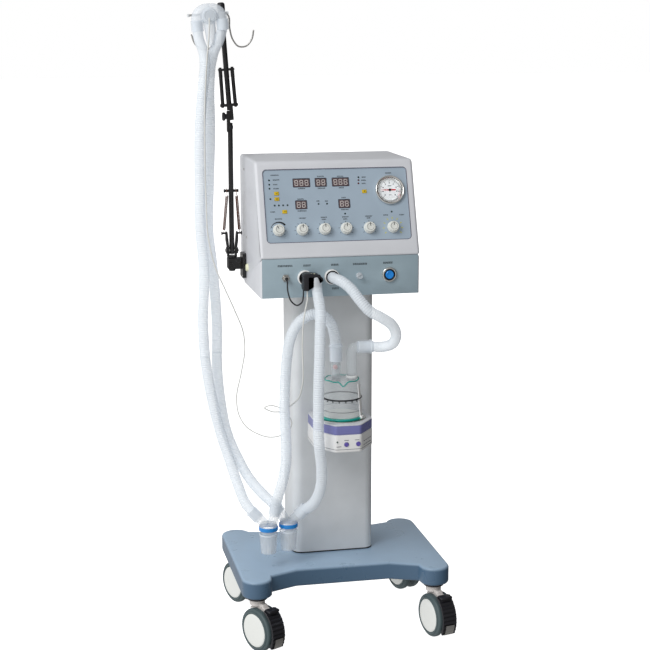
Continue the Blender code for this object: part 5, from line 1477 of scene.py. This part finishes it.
def build_humidifier():
    low, high = HEATER_LOW, HEATER_HIGH
    band_low, band_high = low + 0.0375, high - 0.0025
    column_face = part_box("column")[0].y - MIDDLE.y - TOUCH - HUMIDIFIER.y
    key_z = low + 0.017
    holes = []
    for x in HEATER_KEYS_X:
        holes.append(turned([(0.0052, -0.09), (0.0052, -0.048)], 32, "Y", (x, 0, key_z)))
    body = prism(heater_outline(), low, band_low, bevel=0.0030, segments=4)
    mount = block((0.060, column_face - 0.060, 0.050), (0, (column_face + 0.060) / 2, low + 0.028), 0.002)
    body = combined(body, join=[mount], cut=[several(holes)])
    shapes = [(body, "white_plastic")]
    band = prism(heater_outline(0.0004), band_low + 0.0002, band_high, bevel=0.0010)
    shapes.append((band, "lavender"))
    lid = prism(heater_outline(0.0007), band_high + 0.0001, high, bevel=0.0010)
    lid = combined(lid, cut=[turned([(0.0475, high - 0.0015), (0.0475, high + 0.02)], 64)])
    shapes.append((lid, "shell"))
    shapes.append(outer_band(low + 0.0062, low + 0.0070, 0.00015, "ink"))
    bulb = [(0, 0.0010), (0.0016, 0.0006), (0.0018, -0.0010)]
    shapes.append((turned(bulb, 20, "Y", (-0.0235, -0.0639, key_z + 0.006)), "lamp_green"))
    for x, above, width in ((-0.020, -0.004, 0.010), (-0.004, 0.009, 0.009), (0.018, 0.009, 0.009)):
        shapes.append((block((width, 0.0006, 0.0009), (x, -0.0641, key_z + above)), "ink"))
    facet = Matrix.Translation((0.0445, -0.0400, 0)) @ Matrix.Rotation(math.atan2(0.048, 0.035), 4, "Z")
    for row in (0.012, 0.020):
        for place in (-0.014, -0.004, 0.006, 0.016):
            dash = block((0.0070, 0.0006, 0.0010), (place, -0.0001, low + row))
            shapes.append((moved(dash, facet), "ink"))
    piece("heater_housing", placed_by(HEATER, shapes), "trolley", "humidifier_base")

    for number, x in enumerate(HEATER_KEYS_X, 1):
        place = HEATER @ Matrix.Translation((x, -0.0640, key_z))
        profile = [(0, 0.0115), (0.0045, 0.0115), (0.0045, -0.0010), (0.0041, -0.0017), (0.0030, -0.0020)]
        profile += [(0.0018, -0.0016), (0, -0.0015)]
        key = moved(turned(profile, 40, "Y"), place)
        piece(f"heater_key_{number}", [(key, "violet")], f"humidifier_key_{number}",
              f"humidifier_key_{number}")
    build_chamber()


def build_chamber():
    foot = HEATER_HIGH - 0.0015 + TOUCH
    left, right = OUTLET_PORT_X - HUMIDIFIER.x, INLET_PORT_X - HUMIDIFIER.x
    low, high = CHAMBER_LOW, CHAMBER_HIGH
    plate = [(0, foot), (0.0458, foot), (0.0465, foot + 0.0006), (0.0465, foot + 0.0028),
             (0.0450, foot + 0.0036)]
    plate += [(0, foot + 0.0036)]
    shapes = [(turned(plate, 96), "steel")]
    seal = [(0.0400, low - 0.0030), (0.0450, low - 0.0034), (0.0456, low - 0.0020), (0.0446, low + 0.0002)]
    seal += [(0.0400, low + 0.0006)]
    shapes.append((turned(seal, 96, closed=True), "teal"))
    wall = [(0.0400, low + 0.0006), (0.0436, low), (0.0440, low + 0.0014), (0.0420, low + 0.0030)]
    wall += [(0.0388, high - 0.010), (0.0378, high - 0.0060), (0.0350, high - 0.0014), (0.0328, high),
             (0, high)]
    wall += [(0, high - 0.0024), (0.0312, high - 0.0026), (0.0362, high - 0.0100), (0.0396, low + 0.0034)]
    shapes.append((turned(wall, 96, closed=True), "dome"))
    floor_plate = turned([(0, low + 0.0006), (0.0394, low + 0.0006), (0.0394, low + 0.0024),
                          (0, low + 0.0024)], 64)
    shapes.append((floor_plate, "hub"))
    shapes.append((ring(0.0440, 0.0496, foot + 0.0006, foot + 0.0030, 0.0006, 96), "chrome"))

    waves = []
    for step in range(145):
        angle = 2 * math.pi * step / 144
        dip = max(0.0, 1 - abs(math.degrees(angle) - 262) / 16)
        reach = 0.0352 + 0.0028 * dip
        lift = 0.0008 * math.sin(9 * angle) - 0.0085 * dip
        waves.append((reach * math.cos(angle), reach * math.sin(angle), high - 0.0010 + lift))
    shapes.append((tube(waves, 0.0012, 8), "teal"))
    shapes.append((turned([(0.0300, high), (0.0300, high + 0.0022), (0.0288, high + 0.0030),
                           (0.0150, high + 0.0034),
                           (0.0150, high)], 96, closed=True), "dome"))
    for height, thick, look in ((0.531, 0.0016, "ink_black"), (0.5060, 0.0004, "ink")):
        radius = 0.0388 + (high - 0.010 - height) * 0.0032 / 0.065 + 0.0003
        level = [(x, y, height) for x, y in arc((0, 0), radius, 0, 360, 96)]
        shapes.append((tube(level, thick, 6), look))
    for x, y in arc((0, 0), 0.0394, -150, -30, 6):
        shapes.append((rod((x, y, 0.5255), (x, y, 0.5310), 0.0013, 8), "ink_black"))

    strip = prism([(-0.0062, 0), (0.0062, 0), (0.0050, 0.068), (-0.0050, 0.068)], -0.0010, 0.0010, "Y",
                  bevel=0.0006)
    turn = spin(-35, "Z") @ Matrix.Translation((0.0436, 0, low + 0.002)) @ spin(90, "Z") @ spin(-5, "X")
    shapes.append((moved(strip, turn), "white_plastic"))
    foot_block = block((0.0130, 0.0060, 0.0060), (0, 0, 0), 0.0012)
    turn = spin(-35, "Z") @ Matrix.Translation((0.0450, 0, low)) @ spin(90, "Z")
    shapes.append((moved(foot_block, turn), "white_plastic"))

    straight = [(PORT_BORE, high - 0.006), (PORT_OUTER, high - 0.006), (PORT_OUTER, high + 0.002)]
    straight += [(PORT_OUTER + 0.0014, high + 0.003), (PORT_OUTER + 0.0014, high + 0.0046),
                 (PORT_OUTER, high + 0.0056)]
    straight += [(PORT_OUTER, STRAIGHT_PORT_TOP - 0.0006), (PORT_OUTER - 0.0006, STRAIGHT_PORT_TOP)]
    straight += [(PORT_BORE, STRAIGHT_PORT_TOP)]
    shapes.append((turned(straight, 48, centre=(left, 0, 0), closed=True), "clear"))
    elbow = [(0, high - 0.006), (0, high + 0.03), (0, ELBOW_HEIGHT - 0.012), (0.0010, ELBOW_HEIGHT - 0.007)]
    elbow += [(0.0040, ELBOW_HEIGHT - 0.0025), (0.0090, ELBOW_HEIGHT), (ELBOW_REACH, ELBOW_HEIGHT)]
    elbow = [(right + x, 0, z) for x, z in elbow]
    shapes.append((tube(smooth_route(elbow, 0.002), PORT_OUTER, 32), "clear"))
    collar = [(PORT_OUTER, high), (PORT_OUTER + 0.0020, high + 0.0006), (PORT_OUTER + 0.0020, high + 0.0042)]
    collar += [(PORT_OUTER, high + 0.0050)]
    shapes.append((turned(collar, 48, centre=(right, 0, 0), closed=True), "white_plastic"))
    plug = [(0, -0.0080), (0.0036, -0.0078), (0.0046, -0.0066), (0.0046, -0.0020), (0.0030, 0.0010),
            (0, 0.0010)]
    shapes.append((turned(plug, 32, "Y", (left - 0.004, -PORT_OUTER + 0.002, high + 0.0270)), "pink"))
    piece("water_chamber", placed_by(HEATER, shapes), "trolley", "humidifier_chamber")


# ---------------------------------------------------------------- water traps


def band_flutes(angle, height):
    """The band's fine flutes, alike at every height."""
    return 1 - 0.006 * (0.5 + 0.5 * math.cos(48 * angle))


def cup_ribs(angle, height):
    """The cup's thin ribs, below its plain rim."""
    return 1 - 0.016 * (0.5 + 0.5 * math.cos(16 * angle)) ** 3 if height < -0.020 else 1.0


def build_traps():
    radius = 0.0198
    for side in ("left", "right"):
        place = Matrix.Translation(MIDDLE + trap_place(side))
        head = [(0, -0.0124), (radius - 0.0030, -0.0124), (radius - 0.0026, -0.0056),
                (radius - 0.0004, -0.0048)]
        head += [(radius, -0.0040), (radius, 0.0016), (radius - 0.0006, 0.0026), (0.0160, 0.0080),
                 (0.0146, 0.0090)]
        head += [(0, 0.0092)]
        shapes = [(turned(head, 64), "frosted")]
        shapes.append((ring(0.0150, 0.0166, 0.0070, 0.0084, 0.0004, 64), "clear"))
        band = [(radius - 0.0026, -0.0062), (radius + 0.0002, -0.0062), (radius + 0.0004, -0.0058)]
        band += [(radius + 0.0004, 0.0012), (radius, 0.0018), (radius - 0.0026, 0.0020)]
        shapes.append((turned(band, 96, closed=True, wave=band_flutes), "trap_blue"))
        for start, end in trap_ports(side):
            shapes.append((rod(start, end, HOSE_RADIUS - 0.0010, 40, 0.0005), "frosted"))
        piece(f"trap_lid_{side}", placed_by(place, shapes), "trolley", f"trap_head_{side}")

        top = -0.0130 - TOUCH
        cup = [(0, -0.0570), (0.0138, -0.0570), (0.0150, -0.0566), (0.0162, -0.0552), (0.0172, -0.0440)]
        cup += [(0.0182, -0.0300), (0.0192, top), (0.0180, top), (0.0168, -0.0300), (0.0158, -0.0460)]
        cup += [(0.0146, -0.0542), (0, -0.0544)]
        shapes = [(turned(cup, 128, closed=True, wave=cup_ribs), "jar")]
        shapes.append((ring(0.0182, 0.0193, top - 0.0036, top, 0.0003, 64), "cuff"))
        valve = turned([(0, -0.0564), (0.0040, -0.0564), (0.0036, -0.0480), (0.0010, -0.0420),
                        (0, -0.0420)], 32)
        shapes.append((valve, "cuff"))
        piece(f"trap_jar_{side}", placed_by(place, shapes), f"trap_cup_{side}", f"trap_cup_{side}")


# ---------------------------------------------------------------- trolley

BASE_HALF_WIDTH = (base_high.x - base_low.x) / 2
BASE_UNDERSIDE, BASE_TOP = base_low.z - MIDDLE.z, base_high.z - MIDDLE.z
LOBE_RADIUS = 0.032
LOBE_FRONT_Y = joint_place("swivel_front_left").y - MIDDLE.y
LOBE_REAR_Y = joint_place("swivel_rear_left").y - MIDDLE.y
AXLE_HEIGHT = joint_place("roll_front_left").z - MIDDLE.z
WHEEL_INNER = 0.008


def base_outline(front_edge, rear_edge, steps=14):
    half = [(0.100, front_edge), (0.158, front_edge - 0.024)]
    lobe_x = BASE_HALF_WIDTH - LOBE_RADIUS
    half += arc((lobe_x, LOBE_FRONT_Y), LOBE_RADIUS, 205, 360, steps)
    half += arc((lobe_x, LOBE_REAR_Y), LOBE_RADIUS, 0, 155, steps)
    half += [(0.158, rear_edge + 0.014), (0.100, rear_edge)]
    return half + [(-x, y) for x, y in reversed(half)]


def build_base():
    body = prism(base_outline(-0.112, 0.138), BASE_UNDERSIDE, BASE_TOP, bevel=0.0055, segments=5)
    cells = []
    for column in (-1, 0, 1):
        for row in (-1, 1):
            place = (column * 0.096, 0.0115 + row * 0.052, BASE_UNDERSIDE)
            cells.append(block((0.090, 0.098, 2 * (BASE_TOP - 0.006 - BASE_UNDERSIDE)), place))
    bores = []
    for corner in CORNERS:
        place = joint_place(f"swivel_{corner}") - MIDDLE
        bores.append(turned([(0.0061, BASE_UNDERSIDE - 0.005), (0.0061, 0.1515)], 24,
                            centre=(place.x, place.y, 0)))
    # the base's look paints shade on its upright faces
    shapes = [(combined(body, cut=[several([*cells, *bores])]), "base_paint_and_side_shade")]
    piece("trolley_base", placed_by(TROLLEY, shapes), "trolley", "base_frame")


def build_column():
    half, front, rear, radius = 0.088, -0.017, 0.108, 0.020
    low, high = BASE_TOP + TOUCH, CONSOLE_BOTTOM - TOUCH

    def outline(inset):
        wide, deep = half - inset, (rear - front) / 2 - inset
        middle = (rear + front) / 2
        return round_corners([(-wide, middle - deep), (wide, middle - deep), (wide, middle + deep),
                              (-wide, middle + deep)], radius - inset, 10)

    skin = combined(prism(outline(0), low, high), cut=[prism(outline(0.003), low - 0.01, high + 0.01)])
    foot = combined(prism(outline(-0.0006), low, low + 0.0026, bevel=0.0005, segments=1),
                    cut=[prism(outline(0.002), low - 0.01, low + 0.01)])
    shapes = [(skin, "column_paint"), (foot, "ink_black")]
    web = block((0.003, rear - front - 0.006, high - low), (0, (front + rear) / 2, (low + high) / 2))
    shapes.append((web, "column_paint"))
    piece("column_skin", placed_by(TROLLEY, shapes), "trolley", "column")


def caster_place(corner):
    """The caster's own place: its stem along z, its wheels trailing towards -y."""
    stem = joint_place(f"swivel_{corner}")
    axle = joint_place(f"roll_{corner}")
    ahead = Vector((stem.x - axle.x, stem.y - axle.y, 0))
    trail = ahead.length
    ahead.normalize()
    across = ahead.cross(Vector((0, 0, 1)))
    return frame_at(Vector((stem.x, stem.y, MIDDLE.z)), across, ahead), trail


def fork_shapes(trail):
    profile = [(0, 0.150), (0.0050, 0.150), (0.0055, 0.1494), (0.0055, 0.1243), (0.0210, 0.1243),
               (0.0215, 0.1239)]
    profile += [(0.0215, 0.1188), (0.0210, 0.1184), (0, 0.1184)]
    collar = turned(profile, 64)
    neck = turned([(0, 0.1186), (0.0160, 0.1186), (0.0162, 0.1178), (0.0160, 0.1066), (0.0154, 0.1060),
                   (0, 0.1060)], 64)
    outline = [(-0.027, 0.112), (0.013, 0.112), (0.013, 0.1065), (-0.004, 0.048)]
    outline += [(-0.028, 0.048), (-0.036, 0.094)]
    outline = round_corners(outline, [0.006, 0.002, 0.003, 0.006, 0.006, 0.010])
    web = prism(outline, -0.0062, 0.0062, "X", bevel=0.0012)
    axle = turned([(0.0048, -0.03), (0.0048, 0.03)], 24, "X", (0, -trail, AXLE_HEIGHT))
    saddle = []
    for radius, start, end in ((0.0508, 50, 118), (0.0480, 118, 50)):
        saddle += arc((-trail, AXLE_HEIGHT), radius, start, end, 14)
    fender = prism(saddle, -0.0070, 0.0070, "X", bevel=0.0008)
    return [(collar, "black_plastic"), (neck, "caster_white"), (combined(web, cut=[axle]), "caster_white"),
            (fender, "caster_white")]


def wheel_shapes():
    tread = [(0.0442, WHEEL_INNER), (0.0458, 0.0098), (0.0460, 0.0120), (0.0460, 0.0150), (0.0456, 0.0172)]
    tread += [(0.0447, 0.0190), (0.0432, 0.0201), (0.0418, 0.0209), (0.0413, 0.0206), (0.0406, 0.0207)]
    tread += [(0.0396, 0.0226), (0.0388, 0.0230), (0.0372, 0.0230), (0.0362, 0.0226), (0.0356, 0.0206)]
    tread += [(0.0300, 0.0200), (0.0300, WHEEL_INNER)]
    cap = [(0.0352, 0.0200), (0.0350, 0.0216), (0.0340, 0.0224), (0.0300, 0.0228), (0.0220, 0.0229),
           (0, 0.0229)]
    inner = [(0.0040, WHEEL_INNER), (0.0300, WHEEL_INNER), (0.0300, 0.0200), (0.0040, 0.0200)]
    shapes = []
    for side in (-1, 1):
        flip = Matrix.Scale(side, 4, (1, 0, 0))
        for profile, look, closed in ((tread, "tyre", True), (inner, "tyre", True), (cap, "hub", False)):
            mesh = turned(profile, 96, "X", closed=closed)
            mesh.transform(flip)
            if side < 0:
                mesh.flip_normals()
            shapes.append((mesh, look))
    shapes.append((turned([(0.0040, -WHEEL_INNER), (0.0040, WHEEL_INNER)], 24, "X"), "steel"))
    return shapes


def pedal_shapes():
    """The ribbed brake pedal round the wheels' trailing side, from the axle's place."""
    inner, outer = 0.0505, 0.0540
    shell, edges = [], []
    for step in range(41):
        angle = math.radians(62 - 92 * step / 40)
        lift = 0.0030 * (0.5 + 0.5 * math.cos(2 * math.pi * step / 4))
        shell.append((-(outer + lift) * math.cos(angle), (outer + lift) * math.sin(angle)))
    shell += [(-y, z) for y, z in arc((0, 0), inner, -30, 62, 20)]
    guard = prism(shell, -0.0155, 0.0155, "X")
    for side in (-1, 1):
        rim = []
        for angle in range(62, -31, -4):
            turn = math.radians(angle)
            rim.append((side * 0.0150, -(outer + 0.0002) * math.cos(turn), (outer + 0.0002) * math.sin(turn)))
        edges.append(tube(rim, 0.0014, 10))
    tab = block((0.026, 0.018, 0.0056), (0, -0.0330, 0.0486), 0.0018)
    foot = []
    for radius, start, end in ((0.0574, -30, -6), (0.0560, -6, -30)):
        foot += [(-y, z) for y, z in arc((0, 0), radius, start, end, 8)]
    plate = prism(foot, -0.0100, 0.0100, "X")
    shapes = [(guard, "black_plastic"), (tab, "black_plastic"), (plate, "steel")]
    return shapes + [(mesh, "black_plastic") for mesh in edges]


def build_casters():
    for corner in CORNERS:
        place, trail = caster_place(corner)
        axle = place @ Matrix.Translation((0, -trail, AXLE_HEIGHT))
        piece(f"fork_{corner}", placed_by(place, fork_shapes(trail)), f"swivel_{corner}",
              f"caster_fork_{corner}")
        piece(f"tyres_{corner}", placed_by(axle, wheel_shapes()), f"wheels_{corner}",
              f"caster_wheels_{corner}")
        if corner.startswith("front"):
            piece(f"pedal_{corner}", placed_by(axle, pedal_shapes()), f"brake_{corner}",
                  f"brake_pedal_{corner}")


# ---------------------------------------------------------------- the whole object


def finish_chassis():
    """The chassis tray keeps the frame's own shape and gets a plated look."""
    tray = frame["nodes"]["chassis_tray"]
    tray.data.materials.clear()
    tray.data.materials.append(LOOKS["steel"])


build_stage()
build_cords(build_y_piece())
build_cuffs()
build_control_panel()
build_displays()
build_knobs()
build_keys()
build_gauge()
build_console()
build_ports()
build_bracket()
build_yoke()
build_lower_arm()
build_springs()
build_upper_arm()
build_elbow_knob()
build_hook_head()
build_humidifier()
build_traps()
build_base()
build_column()
build_casters()
finish_chassis()
